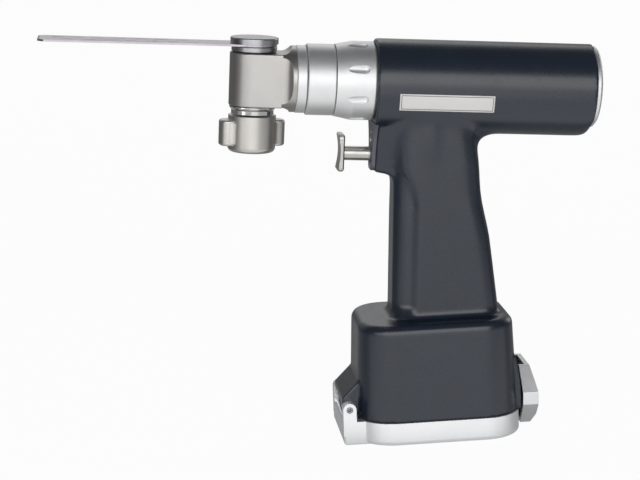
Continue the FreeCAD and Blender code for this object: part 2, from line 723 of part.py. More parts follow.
def flute_cutter():
    """A round cutter on the +Z side: its ball end is at the rear and it runs out to a point in front."""
    radius = FLUTE_CUTTER_R
    half_chord = math.sqrt(radius ** 2 - (radius - FLUTE_DEPTH) ** 2)
    ball_x = FLUTE_REAR - half_chord
    cone_share = (FLUTE_FRONT - COLLAR_FRONT) / (COLLAR_CYL_FROM - COLLAR_FRONT)
    front_r = COLLAR_NOSE_R + (COLLAR_R - COLLAR_NOSE_R) * cone_share
    rise = front_r - (COLLAR_R - FLUTE_DEPTH)
    along = vec(FLUTE_FRONT - ball_x, 0, rise)
    ball_at = vec(ball_x, 0, COLLAR_R - FLUTE_DEPTH + radius)
    shank = Part.makeCylinder(radius, 2 * along.Length, ball_at, along)
    return shank.fuse(Part.makeSphere(radius, ball_at))


def coupling_sleeve():
    """The fixed sleeve: ring two outside, and the nose tube that carries the collar and the head."""
    front = RING_TWO_FRONT + FACE_GAP / 2
    bore = SPIGOT_R + RUN_GAP
    foot_end = FRONT_WALL - 2.0 - SEAT_GAP
    ring = turned_x([(front, bore), (front, RING_TWO_R - RING_EDGE), (front + RING_EDGE, RING_TWO_R),
                     (COLLAR_FRONT - RING_EDGE, RING_TWO_R), (COLLAR_FRONT, RING_TWO_R - RING_EDGE),
                     (COLLAR_FRONT, bore)])
    tube = ring_x(COLLAR_BORE_R - RUN_GAP, bore, COLLAR_FRONT - RING_EDGE, foot_end)
    foot = ring_x(MOUTH_R - SEAT_GAP, bore, 0, foot_end)
    return placed(ring.fuse([tube, foot]).removeSplitter())


def ring_one():
    """The swivel ring that closes the head against the sleeve."""
    rear = RING_TWO_FRONT - FACE_GAP / 2
    bore = SPIGOT_R + SEAT_GAP
    ring = turned_x([(RING_ONE_FRONT, bore), (RING_ONE_FRONT, RING_ONE_R - RING_EDGE),
                     (RING_ONE_FRONT + RING_EDGE, RING_ONE_R), (rear - RING_EDGE, RING_ONE_R),
                     (rear, RING_ONE_R - RING_EDGE), (rear, bore)])
    return placed(ring)


# Saw head


def head_outside():
    """The head: a round nose, flats milled out of a turned body, and their concave run-outs."""
    nose = along_z(HEAD_HALF_W, HEAD_BOTTOM, HEAD_TOP, HEAD_X)
    flats = Part.makeBox(HEAD_SHOULDER - HEAD_X, 2 * HEAD_HALF_W, HEAD_TOP - HEAD_BOTTOM,
                         vec(HEAD_X, -HEAD_HALF_W, HEAD_BOTTOM))
    block = nose.fuse(flats).removeSplitter()
    rims = edges_where(block, lambda b: b.ZLength < 0.01 and b.XMax < HEAD_SHOULDER - 0.01)
    rims += edges_where(block, lambda b: b.ZLength < 0.01 and b.XLength > 5 and b.YLength < 0.01)
    block = block.makeFillet(HEAD_RIM_ROUND, rims)
    turned = along_x(HEAD_TURNED_R, HEAD_SHOULDER, RING_ONE_FRONT - SEAT_GAP)
    tall = 4 * HEAD_TURNED_R
    side = HEAD_HALF_W + HEAD_CUTTER_R
    cutters = [along_z(HEAD_CUTTER_R, -tall / 2, tall / 2, HEAD_SHOULDER, s * side) for s in (-1, 1)]
    cutters.append(along_y(HEAD_CUTTER_R, tall / 2, HEAD_SHOULDER, HEAD_TOP + HEAD_CUTTER_R))
    cutters.append(along_y(HEAD_CUTTER_R, tall / 2, HEAD_SHOULDER, HEAD_BOTTOM - HEAD_CUTTER_R))
    return block.fuse(turned.cut(cutters))


def head_housing():
    """The head with its swivel spigot, spindle bore, bearing seats and the room for the fork."""
    spigot = along_x(SPIGOT_R, RING_ONE_FRONT - 1, SPIGOT_END)
    solid = head_outside().fuse(spigot).removeSplitter()
    bores = [
        along_z(HEAD_BORE_R + SEAT_GAP, HEAD_TOP - BEARING_W, HEAD_TOP + 1, HEAD_X),
        along_z(HEAD_BORE_R + SEAT_GAP, HEAD_BOTTOM - 1, HEAD_BOTTOM + BEARING_W, HEAD_X),
        along_z(HEAD_BORE_R - BEARING_LIP, HEAD_BOTTOM, HEAD_TOP, HEAD_X),
        along_x(SHAFT_TUNNEL_R, HEAD_X, SPIGOT_END + 1),
        Part.makeBox(FORK_ROOM_LEN, 2 * FORK_ROOM_HALF, FORK_ROOM_TALL,
                     vec(HEAD_X, -FORK_ROOM_HALF, -FORK_ROOM_TALL / 2)),
    ]
    return placed(solid.cut(bores))


def head_bearing(low):
    return placed(bearing(HEAD_BORE_R, SPINDLE_R + SEAT_GAP * 2, low, BEARING_W - 0.05, "z", HEAD_X))


def spindle():
    """The hollow spindle with the lower clamp disc and the fork that the offset pin drives."""
    profile = [(BOLT_R + RUN_GAP, SPINDLE_BOTTOM), (SPINDLE_R, SPINDLE_BOTTOM),
               (SPINDLE_R, HEAD_TOP + FACE_GAP),
               (FLANGE_DISC_R - 0.5, HEAD_TOP + FACE_GAP), (FLANGE_DISC_R, HEAD_TOP + FACE_GAP + 0.5),
               (FLANGE_DISC_R, BLADE_Z - 0.5), (FLANGE_DISC_R - 0.5, BLADE_Z), (BOLT_R + RUN_GAP, BLADE_Z)]
    body = turned_z(profile, HEAD_X)
    slot_half = ECC_BALL_R + ECCENTRIC + FORK_PLAY
    arm_half = slot_half + FORK_ARM
    arm = Part.makeBox(FORK_TIP, 2 * arm_half, 6.0, vec(HEAD_X, -arm_half, -3.0))
    slot = Part.makeBox(FORK_TIP, 2 * slot_half, HEAD_TOP, vec(HEAD_X + SPINDLE_R + FORK_ARM, -slot_half, -HEAD_TOP / 2))
    bore = along_z(BOLT_R + RUN_GAP, SPINDLE_BOTTOM - 1, BLADE_Z + 1, HEAD_X)
    body = body.fuse(arm.cut(slot)).cut(bore)
    pins = []
    for i in range(DRIVE_PINS):
        a = 2 * math.pi * i / DRIVE_PINS
        pins.append(along_z(DRIVE_PIN_R, BLADE_Z - 1, BLADE_Z + BLADE_T + 0.9,
                            HEAD_X + DRIVE_PIN_CIRCLE * math.cos(a), DRIVE_PIN_CIRCLE * math.sin(a)))
    return placed(body.fuse(pins).removeSplitter())


def blade():
    """The flat saw blade: round hub, slight flare, two staggered rows of slots and end teeth."""
    tip = HEAD_X - BLADE_REACH
    corner = 3.0
    outline = [(HEAD_X, -BLADE_HALF_ROOT), (tip + corner, -BLADE_HALF_TIP), (tip, -BLADE_HALF_TIP + corner)]
    count = int(2 * (BLADE_HALF_TIP - corner) / TOOTH_PITCH)
    step = 2 * (BLADE_HALF_TIP - corner) / count
    for i in range(count):
        y = -BLADE_HALF_TIP + corner + i * step
        outline.append((tip + TOOTH_DEPTH, y + 0.5 * step))
        outline.append((tip, y + step))
    outline += [(tip + corner, BLADE_HALF_TIP), (HEAD_X, BLADE_HALF_ROOT)]
    plate = polygon_face([(x, y, BLADE_Z + SEAT_GAP) for x, y in outline])
    body = plate.extrude(vec(0, 0, BLADE_T - 2 * SEAT_GAP))
    body = body.fuse(along_z(BLADE_HUB_R, BLADE_Z + SEAT_GAP, BLADE_Z + BLADE_T - SEAT_GAP, HEAD_X))
    cuts = [along_z(BLADE_HOLE_R, BLADE_Z - 1, BLADE_Z + 3, HEAD_X)]
    for i in range(DRIVE_PINS):
        a = 2 * math.pi * i / DRIVE_PINS
        cuts.append(along_z(DRIVE_PIN_R + RUN_GAP, BLADE_Z - 1, BLADE_Z + 3,
                            HEAD_X + DRIVE_PIN_CIRCLE * math.cos(a), DRIVE_PIN_CIRCLE * math.sin(a)))
    for row, shift in ((1, 0.0), (-1, SLOT_STAGGER)):
        for i in range(SLOTS):
            x = HEAD_X - SLOT_FIRST + i * SLOT_PITCH + shift
            cuts.append(obround(x, row * SLOT_ROW_Y))
    return placed(body.cut(cuts).removeSplitter())


def obround(x, y):
    """A slot cutter along X, centred at x, y, through the blade."""
    half = SLOT_LEN / 2 - SLOT_W / 2
    low = BLADE_Z - 1
    bar = Part.makeBox(2 * half, SLOT_W, 3, vec(x - half, y - SLOT_W / 2, low))
    ends = [along_z(SLOT_W / 2, low, low + 3, x + s * half, y) for s in (-1, 1)]
    return bar.fuse(ends)


def clamp_cap():
    """The upper clamp disc on its draw bolt, which runs down through the spindle to the knob."""
    low = BLADE_Z + BLADE_T
    disc = along_z(CAP_R, low, low + CAP_T, HEAD_X)
    rims = edges_where(disc, lambda b: b.XLength > CAP_R and b.ZMin > low + 1)
    disc = disc.makeFillet(0.7, rims)
    bolt = along_z(BOLT_R, KNOB_BOTTOM + KNOB_FLOOR + 0.6, low + 1, HEAD_X)
    sockets = []
    for i in range(DRIVE_PINS):
        a = 2 * math.pi * i / DRIVE_PINS
        sockets.append(along_z(DRIVE_PIN_R + RUN_GAP, low - 1, low + 1.4,
                               HEAD_X + DRIVE_PIN_CIRCLE * math.cos(a), DRIVE_PIN_CIRCLE * math.sin(a)))
    return placed(disc.cut(sockets).fuse(bolt).removeSplitter())


def neck_ring():
    """The polished ring between the head and the knob, flared at its top and pressed on the spindle."""
    bore = SPINDLE_R + SEAT_GAP
    top = HEAD_BOTTOM - FACE_GAP
    waist = (top + SPINDLE_BOTTOM) / 2
    profile = [(bore, SPINDLE_BOTTOM), (NECK_RING_R - 1, SPINDLE_BOTTOM), (NECK_RING_R - 1, waist),
               (NECK_RING_R, top - 0.6), (NECK_RING_R, top), (bore, top)]
    return placed(turned_z(profile, HEAD_X))


def wing_web(side_x, side_y, low, high):
    """The concave blend between the knob's side and one side of a wing."""
    mid_r = KNOB_R + WING_BLEND
    centre_y = WING_HALF_W + WING_BLEND
    centre_x = math.sqrt(mid_r ** 2 - centre_y ** 2)
    corner = [(0, 0, low), (side_x * centre_x, 0, low), (side_x * centre_x, side_y * centre_y, low)]
    web = polygon_face(corner).extrude(vec(0, 0, high - low))
    return web.cut(along_z(WING_BLEND, low - 1, high + 1, side_x * centre_x, side_y * centre_y))


def wing_knob():
    """The clamp knob: a round-footed cylinder with two blended wings, bored for the draw bolt."""
    body = along_z(KNOB_R, KNOB_BOTTOM, KNOB_TOP)
    body = body.makeFillet(KNOB_FOOT_ROUND, edges_where(body, lambda b: b.ZMax < KNOB_BOTTOM + 0.01))
    body = body.makeFillet(RING_EDGE, edges_where(body, lambda b: b.ZMin > KNOB_TOP - 0.01))
    wings = Part.makeBox(2 * WING_REACH, 2 * WING_HALF_W, WING_TOP - WING_BOTTOM,
                         vec(-WING_REACH, -WING_HALF_W, WING_BOTTOM))
    upright = edges_where(wings, lambda b: b.ZLength > 1)
    wings = wings.makeFillet(0.8 * WING_HALF_W, upright)
    wings = wings.makeFillet(WING_END_ROUND, edges_where(wings, lambda b: b.ZLength < 0.01))
    low = WING_BOTTOM + WING_END_ROUND
    high = WING_TOP - WING_END_ROUND
    webs = [wing_web(sx, sy, low, high) for sx in (-1, 1) for sy in (-1, 1)]
    solid = body.fuse([wings] + webs).removeSplitter()
    bolt_floor = KNOB_BOTTOM + KNOB_FLOOR
    bores = [along_z(BOLT_R + RUN_GAP, bolt_floor, KNOB_TOP + 1),
             along_z(SPINDLE_R + FACE_GAP, KNOB_TOP - 1.2, KNOB_TOP + 1)]
    solid = solid.cut(bores)
    solid.rotate(ORIGIN, Z_AXIS, WING_TURN)
    solid.translate(vec(HEAD_X, 0, 0))
    return placed(solid)


# Battery compartment


def battery_pack():
    half = BOX_HALF_TOP - BOX_WALL - 1.0
    pack = prism_z(BOX_FRONT_TOP + BOX_WALL + 1.2, BOX_REAR_TOP - BOX_WALL - 1.2, half,
                   BOX_CORNER - BOX_WALL - 1.0, LID_FLOOR + FACE_GAP, BOX_TOP_Z - BOX_WALL - 7.0)
    rims = edges_where(pack, lambda b: b.ZMin > 40 or b.ZMax < LID_FLOOR + 1)
    return pack.makeFillet(1.5, rims)


def contact_block():
    """The contact carrier above the battery, with four spring blades."""
    top = BOX_TOP_Z - BOX_WALL - SEAT_GAP
    plate = prism_z(CONTACT_FRONT, CONTACT_REAR, CONTACT_HALF, 2.0, top - CONTACT_T, top)
    blades = []
    for i in range(CONTACTS):
        y = CONTACT_PITCH * (i - (CONTACTS - 1) / 2)
        blades.append(Part.makeBox(CONTACT_LEN, CONTACT_W, CONTACT_DROP + 0.1,
                                   vec(1.0, y - CONTACT_W / 2, top - CONTACT_T - CONTACT_DROP)))
    return plate.fuse(blades).removeSplitter()


def lid_outline(z, grow):
    """The lid's plan: the box outline at the seam, grown a little."""
    spread = (BOX_TOP_Z - SEAM_Z) * math.tan(math.radians(BOX_DRAFT)) + grow
    return rounded_wire(BOX_FRONT_TOP - spread, BOX_REAR_TOP + spread, BOX_HALF_TOP + spread,
                        BOX_CORNER + spread, z)


def lid():
    """The lid tray, with two hinge ears and the front wall between them."""
    top = SEAM_Z - LID_RIM_GAP
    tray = Part.Face(lid_outline(LID_BOTTOM_Z, LID_PROUD)).extrude(vec(0, 0, top))
    tray = tray.makeFillet(LID_EDGE_ROUND, edges_where(tray, lambda b: b.ZMax < 0.01))
    inside = Part.Face(lid_outline(LID_FLOOR, -LID_WALL)).extrude(vec(0, 0, top))
    front = Part.makeBox(LID_FRONT_LEN, 2 * EAR_OUT, top, vec(EAR_FRONT, -EAR_OUT, 0))
    front = front.makeFillet(1.6, edges_where(front, lambda b: b.XMax < EAR_FRONT + 0.01))
    ears = []
    for side in (-1, 1):
        y = EAR_IN if side > 0 else -EAR_OUT
        column = Part.makeBox(EAR_DEPTH, EAR_OUT - EAR_IN, PIN_Z - 4, vec(EAR_FRONT, y, 4))
        knuckle = Part.makeCylinder(EAR_REACH, EAR_OUT - EAR_IN, vec(PIN_X, y, PIN_Z), Y_AXIS)
        ears += [column, knuckle]
    body = tray.fuse([front] + ears).removeSplitter()
    well = Part.makeBox(WELL_LEN, 2 * EAR_IN, 2 * PIN_Z, vec(EAR_FRONT + FRONT_WALL_T, -EAR_IN, WELL_FLOOR))
    gasket_cut = gasket_ring(SEAM_Z - 1.5, top + 1, 0.0)
    bore = along_y(PIN_R + RUN_GAP, EAR_OUT + 1, PIN_X, PIN_Z)
    return body.cut([inside, well, gasket_cut, bore])


def gasket_ring(low, high, spare):
    outer = Part.Face(lid_outline(low, -0.9 - spare)).extrude(vec(0, 0, high - low))
    inner = Part.Face(lid_outline(low - 1, -2.1 + spare)).extrude(vec(0, 0, high - low + 2))
    return outer.cut(inner)


def lid_gasket():
    return gasket_ring(SEAM_Z - 1.5 + SEAT_GAP, SEAM_Z - RUN_GAP, 0.05)


def hinge_pin():
    """The hinge pin with a socket at each end."""
    pin = along_y(PIN_R, EAR_OUT - 0.4, PIN_X, PIN_Z)
    for side in (-1, 1):
        start = side * (EAR_OUT - 1.6)
        pin = pin.cut(Part.makeCylinder(0.8, 2, vec(PIN_X, start, PIN_Z), vec(0, side, 0)))
    return pin


def latch_profile(grow):
    """Side outline of the latch in X and Z; grow moves its inner face towards the housing."""
    front = LATCH_FRONT_X - grow
    return [(front - LATCH_LEAN, LATCH_TOP_Z), (front, LATCH_FLAT_HIGH), (front, LATCH_FLAT_LOW),
            (front - LATCH_LEAN, LATCH_BOTTOM_Z), (LATCH_FOOT_X, LATCH_BOTTOM_Z),
            (LATCH_REAR_X - 0.6, LATCH_HOLLOW_FLOOR + 2.4), (LATCH_REAR_X, LATCH_FLAT_LOW),
            (LATCH_REAR_X, LATCH_FLAT_HIGH), (LATCH_REAR_X - 1.4, 26.0), (LATCH_TOP_X, LATCH_TOP_Z)]


def latch_front_outline(shrink):
    """Outline seen from the rear: widest at the middle, narrowing up and down."""
    mid = LATCH_HALF_MID - shrink
    up = LATCH_HALF_TOP - shrink
    down = LATCH_HALF_BOTTOM - shrink
    right = [(down, LATCH_BOTTOM_Z), (mid, LATCH_FLAT_LOW), (mid, LATCH_FLAT_HIGH), (up, LATCH_TOP_Z)]
    return right + [(-y, z) for y, z in reversed(right)]


def latch():
    """The rocker latch: a six-sided shell, open to the housing and at its top, on a cross pin."""
    wide = 2 * LATCH_HALF_MID + 2
    deep = 2 * (LATCH_REAR_X - LATCH_FRONT_X)
    start = LATCH_FRONT_X - deep / 2
    side = polygon_face([(x, -wide / 2, z) for x, z in latch_profile(0)]).extrude(vec(0, wide, 0))
    outline = polygon_face([(start, y, z) for y, z in latch_front_outline(0)]).extrude(vec(2 * deep, 0, 0))
    shell = side.common(outline)
    hollow = polygon_face([(start, y, z) for y, z in latch_front_outline(LATCH_WALL)])
    hollow = hollow.extrude(vec(2 * deep, 0, 0))
    core = polygon_face([(x - LATCH_WALL, -wide / 2, z) for x, z in latch_profile(deep)])
    inner = hollow.common(core.extrude(vec(0, wide, 0)))
    floor = Part.makeBox(2 * deep, wide, LATCH_HOLLOW_FLOOR - LATCH_BOTTOM_Z + 1,
                         vec(start, -wide / 2, LATCH_BOTTOM_Z - 1))
    bore = along_y(LATCH_PIN_R + RUN_GAP, LATCH_PIN_HALF + FACE_GAP, LATCH_PIN_X, LATCH_PIN_Z)
    return shell.cut(inner.cut(floor)).cut(bore).removeSplitter()


def latch_pin():
    return along_y(LATCH_PIN_R, LATCH_PIN_HALF, LATCH_PIN_X, LATCH_PIN_Z)


def build_all():
    save("handle_body", handle_body())
    save("trigger_plate", trigger_plate())
    save("plate_screws", plate_screws())
    save("mode_plug", mode_plug())
    save("trigger_bush", trigger_bush())
    save("trigger", trigger())
    save("trigger_switch", switch_block())
    save("trigger_spring", trigger_spring())
    save("rear_cap", rear_cap())
    save("rear_seal", rear_seal())
    save("front_bearing", front_bearing())
    save("motor_shell", motor_shell())
    save("motor_bearings", motor_bearings())
    save("motor_rotor", motor_rotor())
    save("drive_shaft", drive_shaft())
    save("eccentric_bearing", eccentric_bearing())
    save("control_board", control_board())
    save("lock_collar", lock_collar())
    save("coupling_sleeve", coupling_sleeve())
    save("ring_one", ring_one())
    save("head_housing", head_housing())
    save("upper_spindle_bearing", head_bearing(HEAD_TOP - BEARING_W + 0.02))
    save("lower_spindle_bearing", head_bearing(HEAD_BOTTOM + 0.03))
    save("spindle", spindle())
    save("blade", blade())
    save("clamp_cap", clamp_cap())
    save("neck_ring", neck_ring())
    save("wing_knob", wing_knob())
    save("battery_pack", battery_pack())
    save("contact_block", contact_block())
    save("lid", lid())
    save("lid_gasket", lid_gasket())
    save("hinge_pin", hinge_pin())
    save("latch", latch())
    save("latch_pin", latch_pin())


build_all()
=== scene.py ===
"""The looks of a surgical oscillating saw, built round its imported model. Units are metres, +Z is up."""

import logging
import math
from dataclasses import dataclass, field
from enum import Enum

import bmesh
import bpy
import numpy as np
from mathutils import Matrix, Vector


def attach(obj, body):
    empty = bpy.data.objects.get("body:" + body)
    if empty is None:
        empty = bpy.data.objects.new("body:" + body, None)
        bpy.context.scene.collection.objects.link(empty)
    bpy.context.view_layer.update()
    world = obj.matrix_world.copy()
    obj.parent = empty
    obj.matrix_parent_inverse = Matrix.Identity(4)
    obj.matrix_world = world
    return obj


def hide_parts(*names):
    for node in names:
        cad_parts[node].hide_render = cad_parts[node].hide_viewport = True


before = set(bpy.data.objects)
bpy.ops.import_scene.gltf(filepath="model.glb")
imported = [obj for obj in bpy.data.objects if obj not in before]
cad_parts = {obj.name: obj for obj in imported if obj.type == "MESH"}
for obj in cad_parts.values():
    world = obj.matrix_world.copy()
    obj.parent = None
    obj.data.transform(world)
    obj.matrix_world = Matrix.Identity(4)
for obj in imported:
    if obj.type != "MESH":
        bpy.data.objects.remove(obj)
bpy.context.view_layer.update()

LOG = logging.getLogger("saw")
MM = 0.001

Colour = tuple[float, float, float]
Point = tuple[float, float, float]
Span = tuple[float, float]

# The barrel axis in the row frame: where it crosses the collar joint, and how far its nose is raised
AXIS_ORIGIN = Vector((-26.0, 0.0, 180.5)) * MM
NOSE_UP = math.radians(4.25)
AXIS_TURN = Matrix.Rotation(NOSE_UP, 4, "Y")
AXIS_DIRECTION = AXIS_TURN @ Vector((1.0, 0.0, 0.0))
HEAD_STATION = -60.0

# The colour sockets of the Mix node, which holds a set for each data type
MIX_FIRST, MIX_SECOND, MIX_RESULT = 6, 7, 2

# How much larger the slow tone patches are than the grain, and their share of its scale
SLOW_GRAIN = 1.7
PATCH_SCALE = 0.02


def from_barrel(x: float, y: float, z: float) -> Vector:
    """Turns a point given along the barrel axis into the row frame.

    Args:
        x: Station along the axis in millimetres, rearwards from the collar joint.
        y: Sideways distance in millimetres.
        z: Height above the axis in millimetres.

    Returns:
        The point in metres.
    """
    return AXIS_TURN @ (Vector((x, y, z)) * MM) + AXIS_ORIGIN


HEAD_POINT = from_barrel(HEAD_STATION, 0.0, 0.0)
HEAD_DIRECTION = AXIS_TURN @ Vector((0.0, 0.0, 1.0))


class Socket(Enum):
    """The kinds of socket that the shader groups use."""

    NUMBER = "NodeSocketFloat"
    VECTOR = "NodeSocketVector"
    COLOUR = "NodeSocketColor"


class Surface(Enum):
    """How a surface was worked."""

    CAST = "cast"
    TURNED = "turned about the barrel axis"
    TURNED_UP = "turned about the head axis"
    BRUSHED = "brushed lengthways"


class NodeBoard:
    """A node tree with short ways to add and join nodes."""

    def __init__(self, tree: bpy.types.NodeTree) -> None:
        """Keeps the tree.

        Args:
            tree: The tree that the nodes go into.
        """
        self.tree = tree

    def add(self, kind: str, **values: object) -> bpy.types.Node:
        """Adds a node.

        Args:
            kind: The node's type name.
            **values: Properties of the node.

        Returns:
            The new node.
        """
        node = self.tree.nodes.new(kind)
        for name, value in values.items():
            setattr(node, name, value)
        return node

    def feed(self, target: bpy.types.NodeSocket, source: object) -> None:
        """Links a socket to the target, or sets the target's value.

        Args:
            target: The input socket.
            source: An output socket, or a plain value.
        """
        if isinstance(source, bpy.types.NodeSocket):
            self.tree.links.new(source, target)
        else:
            target.default_value = source

    def math(self, operation: str, first: object, second: object = 0.0) -> bpy.types.NodeSocket:
        """Adds a Math node.

        Args:
            operation: The node's operation.
            first: First operand, a socket or a number.
            second: Second operand, a socket or a number.

        Returns:
            The result socket.
        """
        node = self.add("ShaderNodeMath", operation=operation)
        self.feed(node.inputs[0], first)
        self.feed(node.inputs[1], second)
        return node.outputs[0]

    def vector(self, operation: str, first: object, second: object = (0.0, 0.0, 0.0)) -> bpy.types.Node:
        """Adds a Vector Math node.

        Args:
            operation: The node's operation.
            first: First operand.
            second: Second operand.

        Returns:
            The node, because some operations give a number and some a vector.
        """
        node = self.add("ShaderNodeVectorMath", operation=operation)
        self.feed(node.inputs[0], first)
        self.feed(node.inputs[1], second)
        return node

    def spread(self, value: object, low: float, high: float, start: float = 0.0,
               end: float = 1.0) -> bpy.types.NodeSocket:
        """Maps a value from one range to another, smoothly and clamped.

        Args:
            value: The socket to map.
            low: Where the input range begins.
            high: Where the input range ends.
            start: The result at the beginning.
            end: The result at the end.

        Returns:
            The result socket.
        """
        node = self.add("ShaderNodeMapRange", interpolation_type="SMOOTHSTEP")
        for place, item in enumerate((value, low, high, start, end)):
            self.feed(node.inputs[place], item)
        return node.outputs[0]

    def noise(self, position: object, scale: object, detail: float = 2.0) -> bpy.types.NodeSocket:
        """Adds a noise texture.

        Args:
            position: The coordinates.
            scale: Cells in a metre.
            detail: Octaves of finer noise.

        Returns:
            The noise value.
        """
        node = self.add("ShaderNodeTexNoise")
        self.feed(node.inputs["Vector"], position)
        self.feed(node.inputs["Scale"], scale)
        node.inputs["Detail"].default_value = detail
        return node.outputs[0]

    def blend(self, factor: object, first: object, second: object) -> bpy.types.NodeSocket:
        """Mixes two colours.

        Args:
            factor: How much of the second colour.
            first: First colour.
            second: Second colour.

        Returns:
            The mixed colour's socket.
        """
        node = self.add("ShaderNodeMix", data_type="RGBA")
        self.feed(node.inputs[0], factor)
        self.feed(node.inputs[MIX_FIRST], first)
        self.feed(node.inputs[MIX_SECOND], second)
        return node.outputs[MIX_RESULT]


class Effect(NodeBoard):
    """A shader node group that gives masks, heights and normals to several finishes."""

    def __init__(self, name: str) -> None:
        """Makes the empty group.

        Args:
            name: The group's name.
        """
        super().__init__(bpy.data.node_groups.new(name, "ShaderNodeTree"))
        self.entry = self.add("NodeGroupInput")
        self.exit = self.add("NodeGroupOutput")

    def take(self, name: str, kind: Socket, default: object = None) -> bpy.types.NodeSocket:
        """Adds an input to the group.

        Args:
            name: The input's name.
            kind: The kind of socket.
            default: Its default value, if it needs one.

        Returns:
            The socket that the group's nodes read.
        """
        item = self.tree.interface.new_socket(name=name, in_out="INPUT", socket_type=kind.value)
        if default is not None:
            item.default_value = default
        return self.entry.outputs[name]

    def give(self, name: str, kind: Socket, source: bpy.types.NodeSocket) -> None:
        """Adds an output to the group.

        Args:
            name: The output's name.
            kind: The kind of socket.
            source: What it puts out.
        """
        self.tree.interface.new_socket(name=name, in_out="OUTPUT", socket_type=kind.value)
        self.feed(self.exit.inputs[name], source)


def per_metre(board: NodeBoard, size_mm: object) -> bpy.types.NodeSocket:
    """Turns a feature size in millimetres into a noise scale.

    Args:
        board: The tree to work in.
        size_mm: The size's socket or number.

    Returns:
        The scale, in cells for each metre.
    """
    return board.math("DIVIDE", 1.0 / MM, size_mm)


def grain_effect() -> bpy.types.NodeTree:
    """Makes the blasted or cast grain, with slow patches of tone.

    Returns:
        The node group.
    """
    group = Effect("Grain")
    position = group.take("Position", Socket.VECTOR)
    size = group.take("Size mm", Socket.NUMBER, 0.5)
    scale = per_metre(group, size)
    fine = group.noise(position, scale, 3.0)
    patch_scale = group.math("MULTIPLY", scale, PATCH_SCALE)
    patches = group.noise(position, patch_scale, 3.0)
    group.give("Height", Socket.NUMBER, fine)
    group.give("Fine", Socket.NUMBER, group.spread(fine, 0.35, 0.65))
    group.give("Patches", Socket.NUMBER, group.spread(patches, 0.35, 0.68))
    return group.tree


def edge_effect() -> bpy.types.NodeTree:
    """Makes softened edges and the mask of where hands rub them.

    Returns:
        The node group.
    """
    group = Effect("Edges")
    radius = group.take("Radius mm", Socket.NUMBER, 0.3)
    bevel = group.add("ShaderNodeBevel", samples=4)
    group.feed(bevel.inputs["Radius"], group.math("MULTIPLY", radius, MM))
    geometry = group.add("ShaderNodeNewGeometry")
    facing = group.vector("DOT_PRODUCT", bevel.outputs[0], geometry.outputs["Normal"])
    group.give("Mask", Socket.NUMBER, group.spread(facing.outputs["Value"], 0.80, 0.985, 1.0, 0.0))
    group.give("Normal", Socket.VECTOR, bevel.outputs[0])
    return group.tree


def turned_effect() -> bpy.types.NodeTree:
    """Makes the fine rings that a lathe leaves round an axis.

    Returns:
        The node group.
    """
    group = Effect("Turned rings")
    position = group.take("Position", Socket.VECTOR)
    centre = group.take("Axis point", Socket.VECTOR)
    direction = group.take("Axis direction", Socket.VECTOR)
    pitch = group.take("Pitch mm", Socket.NUMBER, 0.2)
    offset = group.vector("SUBTRACT", position, centre).outputs[0]
    along = group.vector("DOT_PRODUCT", offset, direction).outputs["Value"]
    foot = group.add("ShaderNodeVectorMath", operation="SCALE")
    group.feed(foot.inputs[0], direction)
    group.feed(foot.inputs["Scale"], along)
    radial = group.vector("SUBTRACT", offset, foot.outputs[0]).outputs[0]
    distance = group.vector("LENGTH", radial).outputs["Value"]
    row = group.add("ShaderNodeCombineXYZ")
    group.feed(row.inputs[0], group.math("ADD", along, distance))
    rings = group.noise(row.outputs[0], per_metre(group, pitch), 2.0)
    group.give("Height", Socket.NUMBER, rings)
    group.give("Mask", Socket.NUMBER, group.spread(rings, 0.3, 0.7))
    return group.tree


def brushed_effect() -> bpy.types.NodeTree:
    """Makes long fine strokes along one direction.

    Returns:
        The node group.
    """
    group = Effect("Brushed strokes")
    position = group.take("Position", Socket.VECTOR)
    stretch = group.take("Stretch", Socket.VECTOR, (0.03, 1.0, 1.0))
    pitch = group.take("Pitch mm", Socket.NUMBER, 0.15)
    stretched = group.vector("MULTIPLY", position, stretch).outputs[0]
    strokes = group.noise(stretched, per_metre(group, pitch), 3.0)
    group.give("Height", Socket.NUMBER, strokes)
    group.give("Mask", Socket.NUMBER, group.spread(strokes, 0.3, 0.7))
    return group.tree


def smudge_effect() -> bpy.types.NodeTree:
    """Makes the soft dull marks that handling leaves.

    Returns:
        The node group.
    """
    group = Effect("Handling marks")
    position = group.take("Position", Socket.VECTOR)
    size = group.take("Size mm", Socket.NUMBER, 12.0)
    noise = group.add("ShaderNodeTexNoise")
    group.feed(noise.inputs["Vector"], position)
    group.feed(noise.inputs["Scale"], per_metre(group, size))
    noise.inputs["Detail"].default_value = 4.0
    noise.inputs["Distortion"].default_value = 0.6
    group.give("Mask", Socket.NUMBER, group.spread(noise.outputs[0], 0.45, 0.75))
    return group.tree


@dataclass(frozen=True)
class Effects:
    """The shared groups, built once."""

    grain: bpy.types.NodeTree
    edges: bpy.types.NodeTree
    turned: bpy.types.NodeTree
    brushed: bpy.types.NodeTree
    smudge: bpy.types.NodeTree

    @staticmethod
    def build() -> "Effects":
        """Builds every group once."""
        return Effects(grain_effect(), edge_effect(), turned_effect(), brushed_effect(), smudge_effect())


